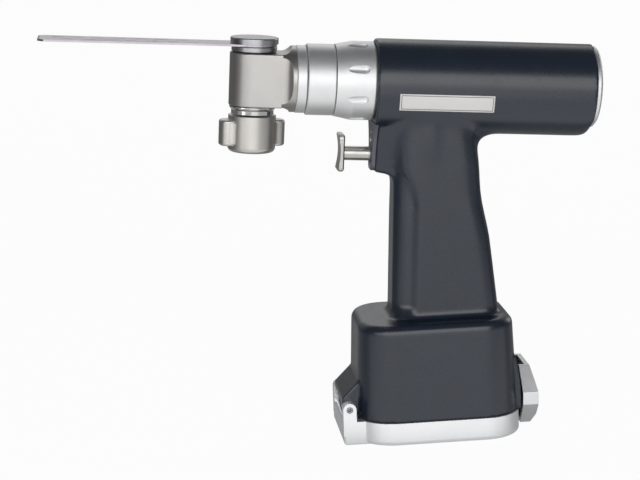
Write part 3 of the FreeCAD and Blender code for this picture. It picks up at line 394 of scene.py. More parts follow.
@dataclass(frozen=True)
class Finish:
    """One surface finish of the saw.

    Attributes:
        name: The material's name.
        colour: Main colour, linear.
        shade: Colour of the slow darker patches.
        worn: Colour along rubbed edges.
        metallic: 1 for bare metal.
        roughness: Mean roughness.
        rough_spread: How far the roughness wanders.
        grain_mm: Size of the grain, or pitch of the rings or strokes.
        relief_mm: Depth of the grain.
        edge_mm: Radius that softens the edges.
        wear: Strength of the rubbed edges.
        surface: How the surface was worked.
        specular: Strength of the reflection of a finish that isn't metal.
    """

    name: str
    colour: Colour
    shade: Colour
    worn: Colour
    metallic: float
    roughness: float
    rough_spread: float = 0.08
    grain_mm: float = 0.4
    relief_mm: float = 0.004
    edge_mm: float = 0.25
    wear: float = 0.3
    surface: Surface = Surface.CAST
    specular: float = 0.5

    def relief(self, board: NodeBoard, effects: Effects, position: bpy.types.NodeSocket) -> tuple:
        """Adds the relief of the way the surface was worked.

        Args:
            board: The material's tree.
            effects: The shared groups.
            position: The coordinates in the row frame.

        Returns:
            The height socket and a mask socket.
        """
        if self.surface is Surface.CAST:
            node = board.add("ShaderNodeGroup", node_tree=effects.grain)
            node.inputs["Size mm"].default_value = self.grain_mm
            board.feed(node.inputs["Position"], position)
            return node.outputs["Height"], node.outputs["Fine"]
        if self.surface is Surface.BRUSHED:
            node = board.add("ShaderNodeGroup", node_tree=effects.brushed)
            node.inputs["Pitch mm"].default_value = self.grain_mm
            board.feed(node.inputs["Position"], position)
            return node.outputs["Height"], node.outputs["Mask"]
        node = board.add("ShaderNodeGroup", node_tree=effects.turned)
        upright = self.surface is Surface.TURNED_UP
        node.inputs["Axis point"].default_value = HEAD_POINT if upright else AXIS_ORIGIN
        node.inputs["Axis direction"].default_value = HEAD_DIRECTION if upright else AXIS_DIRECTION
        node.inputs["Pitch mm"].default_value = self.grain_mm
        board.feed(node.inputs["Position"], position)
        return node.outputs["Height"], node.outputs["Mask"]

    def build(self, effects: Effects) -> bpy.types.Material:
        """Makes the material.

        Args:
            effects: The shared groups.

        Returns:
            The material.
        """
        material = bpy.data.materials.new(self.name)
        material.use_nodes = True
        board = NodeBoard(material.node_tree)
        board.tree.nodes.clear()
        output = board.add("ShaderNodeOutputMaterial")
        shader = board.add("ShaderNodeBsdfPrincipled")
        board.feed(output.inputs["Surface"], shader.outputs[0])
        position = board.add("ShaderNodeTexCoord").outputs["Object"]
        height, mask = self.relief(board, effects, position)
        slow = board.add("ShaderNodeGroup", node_tree=effects.grain)
        slow.inputs["Size mm"].default_value = self.grain_mm * SLOW_GRAIN
        board.feed(slow.inputs["Position"], position)
        smudge = board.add("ShaderNodeGroup", node_tree=effects.smudge)
        board.feed(smudge.inputs["Position"], position)
        edges = board.add("ShaderNodeGroup", node_tree=effects.edges)
        edges.inputs["Radius mm"].default_value = self.edge_mm

        tone = board.blend(slow.outputs["Patches"], (*self.colour, 1.0), (*self.shade, 1.0))
        rubbed = board.math("MULTIPLY", edges.outputs["Mask"], self.wear)
        board.feed(shader.inputs["Base Color"], board.blend(rubbed, tone, (*self.worn, 1.0)))
        fine = board.spread(mask, 0.0, 1.0, self.roughness - self.rough_spread,
                            self.roughness + self.rough_spread)
        dulled = board.math("MULTIPLY", smudge.outputs["Mask"], self.rough_spread)
        board.feed(shader.inputs["Roughness"], board.math("ADD", fine, dulled))
        bump = board.add("ShaderNodeBump")
        bump.inputs["Distance"].default_value = self.relief_mm * MM
        bump.inputs["Strength"].default_value = 1.0
        board.feed(bump.inputs["Height"], height)
        board.feed(bump.inputs["Normal"], edges.outputs["Normal"])
        board.feed(shader.inputs["Normal"], bump.outputs[0])
        shader.inputs["Metallic"].default_value = self.metallic
        shader.inputs["Specular IOR Level"].default_value = self.specular
        return material


FINISHES: tuple[Finish, ...] = (
    Finish("housing_dark", (0.0080, 0.0150, 0.0280), (0.0072, 0.0135, 0.0252), (0.024, 0.029, 0.040),
           0.0, 0.29, 0.04, 0.20, 0.003, 0.6, 0.35, Surface.CAST, 0.72),
    Finish("bright_aluminium", (0.86, 0.87, 0.87), (0.83, 0.84, 0.845), (0.93, 0.93, 0.93),
           1.0, 0.52, 0.04, 0.16, 0.0015, 0.35, 0.4, Surface.CAST),
    Finish("lid_aluminium", (0.91, 0.925, 0.93), (0.885, 0.90, 0.91), (0.95, 0.95, 0.95),
           0.80, 0.34, 0.05, 0.2, 0.0012, 0.4, 0.4, Surface.BRUSHED),
    Finish("latch_aluminium", (0.78, 0.79, 0.795), (0.75, 0.76, 0.77), (0.88, 0.88, 0.88),
           0.85, 0.34, 0.05, 0.16, 0.003, 0.35, 0.4),
    Finish("plate_grey", (0.125, 0.12, 0.145), (0.11, 0.105, 0.13), (0.25, 0.25, 0.27),
           0.35, 0.42, 0.06, 0.25, 0.003, 0.3, 0.4),
    Finish("head_steel", (0.485, 0.475, 0.458), (0.46, 0.45, 0.435), (0.63, 0.62, 0.60),
           1.0, 0.38, 0.04, 0.16, 0.002, 0.4, 0.5),
    Finish("knob_steel", (0.60, 0.585, 0.555), (0.57, 0.555, 0.525), (0.74, 0.73, 0.71),
           1.0, 0.36, 0.04, 0.16, 0.002, 0.4, 0.5),
    Finish("chrome", (0.78, 0.78, 0.77), (0.74, 0.74, 0.73), (0.86, 0.86, 0.86),
           1.0, 0.09, 0.02, 0.12, 0.0004, 0.2, 0.3, Surface.TURNED_UP),
    Finish("clamp_steel", (0.42, 0.425, 0.44), (0.385, 0.39, 0.405), (0.56, 0.56, 0.57),
           1.0, 0.30, 0.04, 0.16, 0.0010, 0.3, 0.4, Surface.TURNED_UP),
    Finish("blade_steel", (0.50, 0.465, 0.505), (0.45, 0.42, 0.46), (0.78, 0.76, 0.75),
           1.0, 0.33, 0.06, 0.14, 0.001, 0.1, 0.5, Surface.BRUSHED),
    Finish("rod_steel", (0.55, 0.535, 0.51), (0.515, 0.50, 0.475), (0.72, 0.71, 0.69),
           1.0, 0.30, 0.05, 0.16, 0.001, 0.3, 0.4, Surface.TURNED),
    Finish("bearing_steel", (0.56, 0.57, 0.58), (0.50, 0.51, 0.52), (0.72, 0.72, 0.72),
           1.0, 0.22, 0.04, 0.14, 0.0008, 0.2, 0.3, Surface.TURNED),
    Finish("spring_steel", (0.42, 0.43, 0.45), (0.36, 0.37, 0.39), (0.60, 0.60, 0.60),
           1.0, 0.25, 0.04, 0.2, 0.001, 0.1, 0.3),
    Finish("seal_rubber", (0.018, 0.018, 0.019), (0.014, 0.014, 0.015), (0.03, 0.03, 0.03),
           0.0, 0.62, 0.06, 0.3, 0.004, 0.15, 0.2),
    Finish("motor_metal", (0.36, 0.37, 0.39), (0.31, 0.32, 0.34), (0.55, 0.55, 0.55),
           1.0, 0.38, 0.05, 0.2, 0.002, 0.3, 0.4, Surface.TURNED),
    Finish("board_green", (0.020, 0.11, 0.055), (0.016, 0.09, 0.045), (0.10, 0.18, 0.10),
           0.0, 0.35, 0.05, 0.4, 0.002, 0.2, 0.3),
    Finish("black_plastic", (0.022, 0.023, 0.025), (0.018, 0.019, 0.021), (0.05, 0.05, 0.05),
           0.0, 0.48, 0.06, 0.35, 0.004, 0.3, 0.3),
    Finish("pack_plastic", (0.040, 0.042, 0.046), (0.034, 0.036, 0.040), (0.08, 0.08, 0.085),
           0.0, 0.50, 0.06, 0.4, 0.005, 0.4, 0.3),
    Finish("printed_plate", (0.74, 0.735, 0.71), (0.71, 0.705, 0.68), (0.80, 0.80, 0.78),
           0.0, 0.45, 0.05, 0.3, 0.001, 0.05, 0.1),
    Finish("printed_line", (0.055, 0.060, 0.070), (0.050, 0.055, 0.064), (0.08, 0.08, 0.09),
           0.0, 0.50, 0.05, 0.3, 0.001, 0.05, 0.1),
)


class Wardrobe:
    """The finishes as materials, and the way a CAD node or a new piece gets one."""

    def __init__(self) -> None:
        """Builds every finish once."""
        effects = Effects.build()
        self.materials = {finish.name: finish.build(effects) for finish in FINISHES}

    def dress_node(self, node: str, finish: str) -> None:
        """Gives a CAD node its finish.

        Args:
            node: The node's name.
            finish: The finish's name.
        """
        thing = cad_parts[node]
        if not thing.material_slots:
            thing.data.materials.append(self.materials[finish])
        for slot in thing.material_slots:
            slot.link = "OBJECT"
            slot.material = self.materials[finish]
        LOG.info("dressed %s in %s", node, finish)

    def dress_all(self, nodes: dict[str, str]) -> None:
        """Gives several CAD nodes their finishes, from a mapping of node to finish."""
        for node, finish in nodes.items():
            self.dress_node(node, finish)

    def dress_piece(self, piece: bpy.types.Object, finish: str) -> None:
        """Gives a new piece its finish."""
        piece.data.materials.append(self.materials[finish])


def link_mesh(name: str, form: bmesh.types.BMesh) -> bpy.types.Object:
    """Makes an object from a bmesh.

    Args:
        name: The piece's name.
        form: The mesh, which is freed.

    Returns:
        The new object, shaded smooth.
    """
    bmesh.ops.recalc_face_normals(form, faces=form.faces)
    mesh = bpy.data.meshes.new(name)
    form.to_mesh(mesh)
    form.free()
    mesh.polygons.foreach_set("use_smooth", [True] * len(mesh.polygons))
    piece = bpy.data.objects.new(name, mesh)
    bpy.context.scene.collection.objects.link(piece)
    return piece


@dataclass
class Barrel:
    """The motor barrel with its rear cap and what it holds.

    Attributes:
        radius: Barrel radius in millimetres.
        drop: How far the lower half circle lies below the axis.
        plate_from: Where the blank name plate starts, rearwards from the collar.
        plate_to: Where it ends.
        plate_high: Height of its top edge against the axis.
        plate_low: Height of its bottom edge.
        plate_rise: How far it stands proud of the casting.
        border: Width of the plate's rim.
        line_inset: Distance from the plate's edge to the printed line.
        line_width: Width of the printed line.
        line_rise: How far the line lies above the casting.
        tuck: How far the plate's outer edge reaches into the casting.
        rows: Rows of faces across the plate.
    """

    radius: float = 21.3
    drop: float = 3.8
    plate_from: float = 10.7
    plate_to: float = 58.0
    plate_high: float = -3.5
    plate_low: float = -12.0
    plate_rise: float = 0.10
    border: float = 0.35
    line_inset: float = 0.75
    line_width: float = 0.28
    line_rise: float = 0.115
    tuck: float = 0.05
    rows: int = 12
    nodes: dict[str, str] = field(default_factory=lambda: {
        "rear_cap": "bright_aluminium", "rear_seal": "seal_rubber", "front_bearing": "bearing_steel",
        "motor_shell": "motor_metal", "motor_bearings": "bearing_steel", "motor_rotor": "motor_metal",
        "drive_shaft": "rod_steel", "eccentric_bearing": "bearing_steel", "control_board": "board_green",
    })

    def on_wall(self, station: float, height: float, rise: float) -> Vector:
        """Finds a point on the near wall of the barrel.

        Args:
            station: Place along the axis in millimetres.
            height: Height against the axis in millimetres.
            rise: Distance out from the wall.

        Returns:
            The point in metres.
        """
        angle = math.asin((height + self.drop) / self.radius)
        reach = self.radius + rise
        return from_barrel(station, -reach * math.cos(angle), -self.drop + reach * math.sin(angle))

    def name_plate(self, wardrobe: Wardrobe) -> bpy.types.Object:
        """Builds the blank pale plate that follows the curve of the wall.

        Args:
            wardrobe: The finishes.

        Returns:
            The plate.
        """
        form = bmesh.new()
        left, right = self.plate_from, self.plate_to
        stations = [left, left + self.border, right - self.border, right]
        edge = self.border / (self.plate_high - self.plate_low)
        inner = [edge + (1 - 2 * edge) * row / self.rows for row in range(1, self.rows)]
        shares = [0.0, edge] + inner + [1 - edge, 1.0]
        grid = []
        for share in shares:
            height = self.plate_low + (self.plate_high - self.plate_low) * share
            outer_row = share in (0.0, 1.0)
            line = []
            for place, station in enumerate(stations):
                rim = outer_row or place in (0, len(stations) - 1)
                rise = -self.tuck if rim else self.plate_rise
                line.append(form.verts.new(self.on_wall(station, height, rise)))
            grid.append(line)
        for low, high in zip(grid, grid[1:]):
            for place in range(len(stations) - 1):
                form.faces.new((low[place], low[place + 1], high[place + 1], high[place]))
        plate = link_mesh("name_plate", form)
        wardrobe.dress_piece(plate, "printed_plate")
        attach(plate, "root")
        return plate

    def wall_strip(self, form: bmesh.types.BMesh, stations: tuple[float, float],
                   heights: tuple[float, float]) -> None:
        """Adds a strip that follows the curve of the wall.

        Args:
            form: The mesh to add to.
            stations: Where the strip starts and ends along the axis.
            heights: Its lower and upper edge.
        """
        rows = max(1, round(heights[1] - heights[0]))
        previous = None
        for row in range(rows + 1):
            height = heights[0] + (heights[1] - heights[0]) * row / rows
            line = [form.verts.new(self.on_wall(station, height, self.line_rise)) for station in stations]
            if previous:
                form.faces.new((previous[0], previous[1], line[1], line[0]))
            previous = line

    def plate_line(self, wardrobe: Wardrobe) -> bpy.types.Object:
        """Builds the fine printed line inside the plate's edge.

        Args:
            wardrobe: The finishes.

        Returns:
            The line.
        """
        form = bmesh.new()
        left, right = self.plate_from + self.line_inset, self.plate_to - self.line_inset
        low, high = self.plate_low + self.line_inset, self.plate_high - self.line_inset
        between = (low + self.line_width, high - self.line_width)
        self.wall_strip(form, (left, right), (low, low + self.line_width))
        self.wall_strip(form, (left, right), (high - self.line_width, high))
        self.wall_strip(form, (left, left + self.line_width), between)
        self.wall_strip(form, (right - self.line_width, right), between)
        line = link_mesh("name_plate_line", form)
        wardrobe.dress_piece(line, "printed_line")
        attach(line, "root")
        return line

    def build(self, wardrobe: Wardrobe) -> None:
        """Dresses the barrel's nodes and adds its plate with the printed line."""
        wardrobe.dress_all(self.nodes)
        LOG.info("built %s", self.name_plate(wardrobe).name)
        LOG.info("built %s", self.plate_line(wardrobe).name)


def ease(value: np.ndarray, low: float, high: float) -> np.ndarray:
    """Rises smoothly from 0 to 1 between two limits.

    Args:
        value: The values to map.
        low: Where the rise begins.
        high: Where it ends.

    Returns:
        The mapped values.
    """
    share = np.clip((value - low) / (high - low), 0.0, 1.0)
    return share * share * (3.0 - 2.0 * share)


@dataclass
class GripForm:
    """The soft hand-shaped form of the grip, laid over the plain CAD casting. Sizes in millimetres.

    Attributes:
        voxel: Size of the even mesh that the casting is redrawn with.
        rounds: Passes of smoothing over the blends.
        settle: Passes of light smoothing over everything.
        waist_depth: How far the rear face is drawn in above the palm.
        waist_height: Height of the middle of that waist.
        waist_half: How far the waist reaches up and down.
        lobe_depth: How far the front lobe's sides are set in from the side panels.
        lobe_edge: Where the panel's front edge runs, against X, at the arc's foot.
        lobe_lean: How far that edge leans forward for each millimetre downwards.
        arc_height: Height where the edge turns forward in an arc.
        arc_wide: The arc's half axis along X.
        arc_tall: The arc's half axis along Z.
        edge_soft: Half the width of the soft step.
        weld: Distance under which the casting's points are joined.
        pace: How far a point moves towards its neighbours in one pass.
        light_share: Strength of the smoothing on the grip, where 1 is full.
        blend_foot: Heights between which the smoothing sets in.
        blend_full: Heights between which it grows from light to full.
        blend_top: Heights against the barrel axis between which it ends.
        blend_front: Stations behind the collar between which it sets in.
        grip_foot: Heights between which the lobe sets in.
        grip_top: Heights between which the lobe ends.
        waist_back: Places along X between which the waist sets in.
        lobe_side: Distances from the middle plane between which the lobe sets in.
    """

    voxel: float = 0.75
    rounds: int = 60
    settle: int = 2
    waist_depth: float = 1.3
    waist_height: float = 120.0
    waist_half: float = 22.0
    lobe_depth: float = 2.3
    lobe_edge: float = -8.3
    lobe_lean: float = 0.054
    arc_height: float = 118.0
    arc_wide: float = 13.6
    arc_tall: float = 21.0
    edge_soft: float = 2.3
    weld: float = 0.001
    pace: float = 0.5
    light_share: float = 0.2
    blend_foot: Span = (60.0, 66.0)
    blend_full: Span = (112.0, 128.0)
    blend_top: Span = (-21.0, -15.0)
    blend_front: Span = (4.0, 9.0)
    grip_foot: Span = (62.0, 68.0)
    grip_top: Span = (140.0, 150.0)
    waist_back: Span = (4.0, 18.0)
    lobe_side: Span = (6.0, 13.0)

    def even_mesh(self, source: bpy.types.Object) -> bpy.types.Mesh:
        """Redraws the casting with an even mesh, in millimetres.

        Args:
            source: The casting's CAD object.

        Returns:
            The new mesh.
        """
        form = bmesh.new()
        form.from_mesh(source.data)
        to_millimetres = Matrix.Scale(1.0 / MM, 4) @ source.matrix_world
        bmesh.ops.transform(form, matrix=to_millimetres, verts=form.verts)
        bmesh.ops.remove_doubles(form, verts=form.verts, dist=self.weld)
        mesh = bpy.data.meshes.new("casting_source")
        form.to_mesh(mesh)
        form.free()
        helper = bpy.data.objects.new("casting_source", mesh)
        bpy.context.scene.collection.objects.link(helper)
        remesh = helper.modifiers.new("even", "REMESH")
        remesh.mode = "VOXEL"
        remesh.voxel_size = self.voxel
        graph = bpy.context.evaluated_depsgraph_get()
        even = bpy.data.meshes.new_from_object(helper.evaluated_get(graph))
        bpy.data.objects.remove(helper)
        bpy.data.meshes.remove(mesh)
        return even

    def blend_share(self, points: np.ndarray) -> np.ndarray:
        """Gives how strongly each point is smoothed: fully under the barrel and lightly on the grip.

        Args:
            points: Places in the row frame.

        Returns:
            One share for each point.
        """
        turn = np.array(AXIS_TURN.inverted().to_3x3())
        barrel = (points - np.array(AXIS_ORIGIN) / MM) @ turn.T
        height = points[:, 2]
        share = ease(height, *self.blend_foot) * (1.0 - ease(barrel[:, 2], *self.blend_top))
        share = share * (self.light_share + (1.0 - self.light_share) * ease(height, *self.blend_full))
        return share * ease(barrel[:, 0], *self.blend_front)

    def smoothed(self, points: np.ndarray, edges: np.ndarray, share: np.ndarray,
                 rounds: int) -> np.ndarray:
        """Draws every point towards the middle of its neighbours.

        Args:
            points: The mesh's points.
            edges: Pairs of neighbours.
            share: How strongly each point moves.
            rounds: Number of passes.

        Returns:
            The moved points.
        """
        count = len(points)
        first = np.concatenate((edges[:, 0], edges[:, 1]))
        second = np.concatenate((edges[:, 1], edges[:, 0]))
        degree = np.maximum(np.bincount(first, minlength=count), 1)[:, None]
        for _ in range(rounds):
            total = np.stack([np.bincount(first, weights=points[second, axis], minlength=count)
                              for axis in range(3)], axis=1)
            points = points + self.pace * share[:, None] * (total / degree - points)
        return points

    def sculpted(self, points: np.ndarray) -> np.ndarray:
        """Draws in the waist and sets in the front lobe.

        Args:
            points: The mesh's points.

        Returns:
            The moved points.
        """
        moved = points.copy()
        x, y, z = points[:, 0], points[:, 1], points[:, 2]
        grip = ease(z, *self.grip_foot) * (1.0 - ease(z, *self.grip_top))
        waist = 1.0 - ease(np.abs(z - self.waist_height), 0.0, self.waist_half)
        moved[:, 0] -= self.waist_depth * waist * ease(x, *self.waist_back)
        edge = self.lobe_edge - self.lobe_lean * (self.arc_height - z)
        below = x - edge
        centre = self.lobe_edge - self.arc_wide
        ellipse = np.hypot((x - centre) / self.arc_wide, (z - self.arc_height) / self.arc_tall)
        above = (ellipse - 1.0) * (self.arc_wide + self.arc_tall) / 2
        beyond = np.where(z > self.arc_height, above, below)
        lobe = 1.0 - ease(beyond, -self.edge_soft, self.edge_soft)
        depth = self.lobe_depth * lobe * grip * ease(np.abs(y), *self.lobe_side)
        moved[:, 1] -= np.sign(y) * depth
        return moved

    def build(self, wardrobe: Wardrobe) -> bpy.types.Object:
        """Builds the casting's visible form and puts it in the CAD node's place.

        Args:
            wardrobe: The finishes.

        Returns:
            The piece.
        """
        mesh = self.even_mesh(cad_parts["handle_body"])
        points = np.empty(len(mesh.vertices) * 3)
        mesh.vertices.foreach_get("co", points)
        points = points.reshape(-1, 3)
        edges = np.empty(len(mesh.edges) * 2, dtype=np.int64)
        mesh.edges.foreach_get("vertices", edges)
        edges = edges.reshape(-1, 2)
        points = self.smoothed(points, edges, self.blend_share(points), self.rounds)
        points = self.sculpted(points)
        points = self.smoothed(points, edges, np.ones(len(points)), self.settle)
        mesh.vertices.foreach_set("co", (points * MM).ravel())
        mesh.polygons.foreach_set("use_smooth", [True] * len(mesh.polygons))
        mesh.materials.clear()
        mesh.update()
        shell = bpy.data.objects.new("casting_form", mesh)
        bpy.context.scene.collection.objects.link(shell)
        wardrobe.dress_piece(shell, "housing_dark")
        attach(shell, "root")
        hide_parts("handle_body")
        LOG.info("sculpted the casting from %d points", len(points))
        return shell


@dataclass
class Handle:
    """The casting, its front plate and the trigger."""

    form: GripForm = field(default_factory=GripForm)
    nodes: dict[str, str] = field(default_factory=lambda: {
        "handle_body": "housing_dark", "trigger_plate": "plate_grey", "plate_screws": "clamp_steel",
        "mode_plug": "rod_steel", "trigger_bush": "plate_grey", "trigger": "rod_steel",
        "trigger_switch": "black_plastic", "trigger_spring": "spring_steel",
    })

    def build(self, wardrobe: Wardrobe) -> None:
        """Dresses the handle's nodes and sculpts the casting."""
        wardrobe.dress_all(self.nodes)
        self.form.build(wardrobe)


@dataclass
class Coupling:
    """The fluted collar and the two rings in front of it."""

    nodes: dict[str, str] = field(default_factory=lambda: {
        "lock_collar": "bright_aluminium", "coupling_sleeve": "bright_aluminium",
        "ring_one": "bright_aluminium",
    })

    def build(self, wardrobe: Wardrobe) -> None:
        """Dresses the coupling's nodes."""
        wardrobe.dress_all(self.nodes)


@dataclass
class SawHead:
    """The head with its spindle, clamp, blade and wing knob."""

    nodes: dict[str, str] = field(default_factory=lambda: {
        "head_housing": "head_steel", "upper_spindle_bearing": "bearing_steel",
        "lower_spindle_bearing": "bearing_steel", "spindle": "clamp_steel", "blade": "blade_steel",
        "clamp_cap": "clamp_steel", "neck_ring": "chrome", "wing_knob": "knob_steel",
    })

    def build(self, wardrobe: Wardrobe) -> None:
        """Dresses the head's nodes."""
        wardrobe.dress_all(self.nodes)


@dataclass
class BatteryBase:
    """The battery housing's lid, hinge, latch and pack.

    Attributes:
        pin_x: Hinge pin's place along X in millimetres.
        pin_z: Hinge pin's height.
        pin_end: How far the pin's ends lie from the middle.
        head_r: Radius of the socket head in the ear.
        head_rise: How far the head stands out from the pin's end.
        hex_r: Radius of the hexagon's corners.
        hex_depth: Depth of the hexagon.
        segments: Points round the head, a multiple of six.
        seat: Gap between the pin's end and the head's foot.
        wall_share: Share of the head's rise that its straight wall takes.
        chamfer: Width of the outer chamfer.
        lip: Width of the ring that slopes into the hexagon.
        lip_drop: How far that ring slopes down.
    """

    pin_x: float = -46.0
    pin_z: float = 18.0
    pin_end: float = 24.0
    head_r: float = 1.5
    head_rise: float = 0.25
    hex_r: float = 0.78
    hex_depth: float = 1.0
    segments: int = 36
    seat: float = 0.01
    wall_share: float = 0.6
    chamfer: float = 0.15
    lip: float = 0.2
    lip_drop: float = 0.1
    nodes: dict[str, str] = field(default_factory=lambda: {
        "battery_pack": "pack_plastic", "contact_block": "black_plastic", "lid": "lid_aluminium",
        "lid_gasket": "seal_rubber", "hinge_pin": "rod_steel", "latch": "latch_aluminium",
        "latch_pin": "bearing_steel",
    })

    def head_ring(self, form: bmesh.types.BMesh, side: int, radius: float, out: float,
                  six_sided: bool = False) -> list[bmesh.types.BMVert]:
        """Adds one ring of points round the hinge pin.

        Args:
            form: The mesh to add to.
            side: 1 for the far ear, -1 for the near one.
            radius: The ring's radius, or that of a hexagon's corners.
            out: Distance out from the pin's end.
            six_sided: Whether the ring is a hexagon.

        Returns:
            The ring's points.
        """
        ring = []
        for place in range(self.segments):
            angle = 2 * math.pi * place / self.segments
            reach = radius
            if six_sided:
                reach *= math.cos(math.pi / 6) / math.cos(angle % (math.pi / 3) - math.pi / 6)
            point = Vector((self.pin_x + reach * math.cos(angle), side * (self.pin_end + out),
                            self.pin_z + reach * math.sin(angle)))
            ring.append(form.verts.new(point * MM))
        return ring

    def hinge_head(self, wardrobe: Wardrobe, side: int) -> bpy.types.Object:
        """Builds the chamfered head with its hexagon socket at one end of the hinge pin.

        Args:
            wardrobe: The finishes.
            side: 1 for the far ear, -1 for the near one.

        Returns:
            The head.
        """
        form = bmesh.new()
        rings = [
            self.head_ring(form, side, self.head_r, self.seat),
            self.head_ring(form, side, self.head_r, self.head_rise * self.wall_share),
            self.head_ring(form, side, self.head_r - self.chamfer, self.head_rise),
            self.head_ring(form, side, self.hex_r + self.lip, self.head_rise),
            self.head_ring(form, side, self.hex_r, self.head_rise - self.lip_drop, True),
            self.head_ring(form, side, self.hex_r, -self.hex_depth, True),
        ]
        for inner, outer in zip(rings, rings[1:]):
            for place in range(self.segments):
                after = (place + 1) % self.segments
                form.faces.new((inner[place], inner[after], outer[after], outer[place]))
        form.faces.new(rings[-1])
        head = link_mesh("hinge_head_far" if side > 0 else "hinge_head_near", form)
        wardrobe.dress_piece(head, "motor_metal")
        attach(head, "root")
        return head

    def build(self, wardrobe: Wardrobe) -> None:
        """Dresses the base's nodes and adds the hinge pin's heads."""
        wardrobe.dress_all(self.nodes)
        for side in (-1, 1):
            LOG.info("built %s", self.hinge_head(wardrobe, side).name)


@dataclass(frozen=True)
class Softbox:
    """A soft lamp aimed at the saw.

    Attributes:
        name: The lamp's name.
        place: Where it stands, in metres.
        aim: What it points at.
        width: Width in metres.
        height: Height in metres.
        radiance: Brightness of its face, where 1 is white.
        tint: Its colour.
    """

    name: str
    place: Point
    aim: Point
    width: float
    height: float
    radiance: float
    tint: Colour = (1.0, 1.0, 1.0)

    def build(self) -> None:
        """Makes the lamp and turns it to its aim."""
        lamp = bpy.data.lights.new(self.name, "AREA")
        lamp.shape = "RECTANGLE"
        lamp.size = self.width
        lamp.size_y = self.height
        lamp.energy = self.radiance * math.pi * self.width * self.height
        lamp.color = self.tint
        thing = bpy.data.objects.new(self.name, lamp)
        bpy.context.scene.collection.objects.link(thing)
        thing.location = self.place
        towards = Vector(self.aim) - Vector(self.place)
        thing.rotation_euler = towards.to_track_quat("-Z", "Y").to_euler()
        LOG.info("lit %s", self.name)


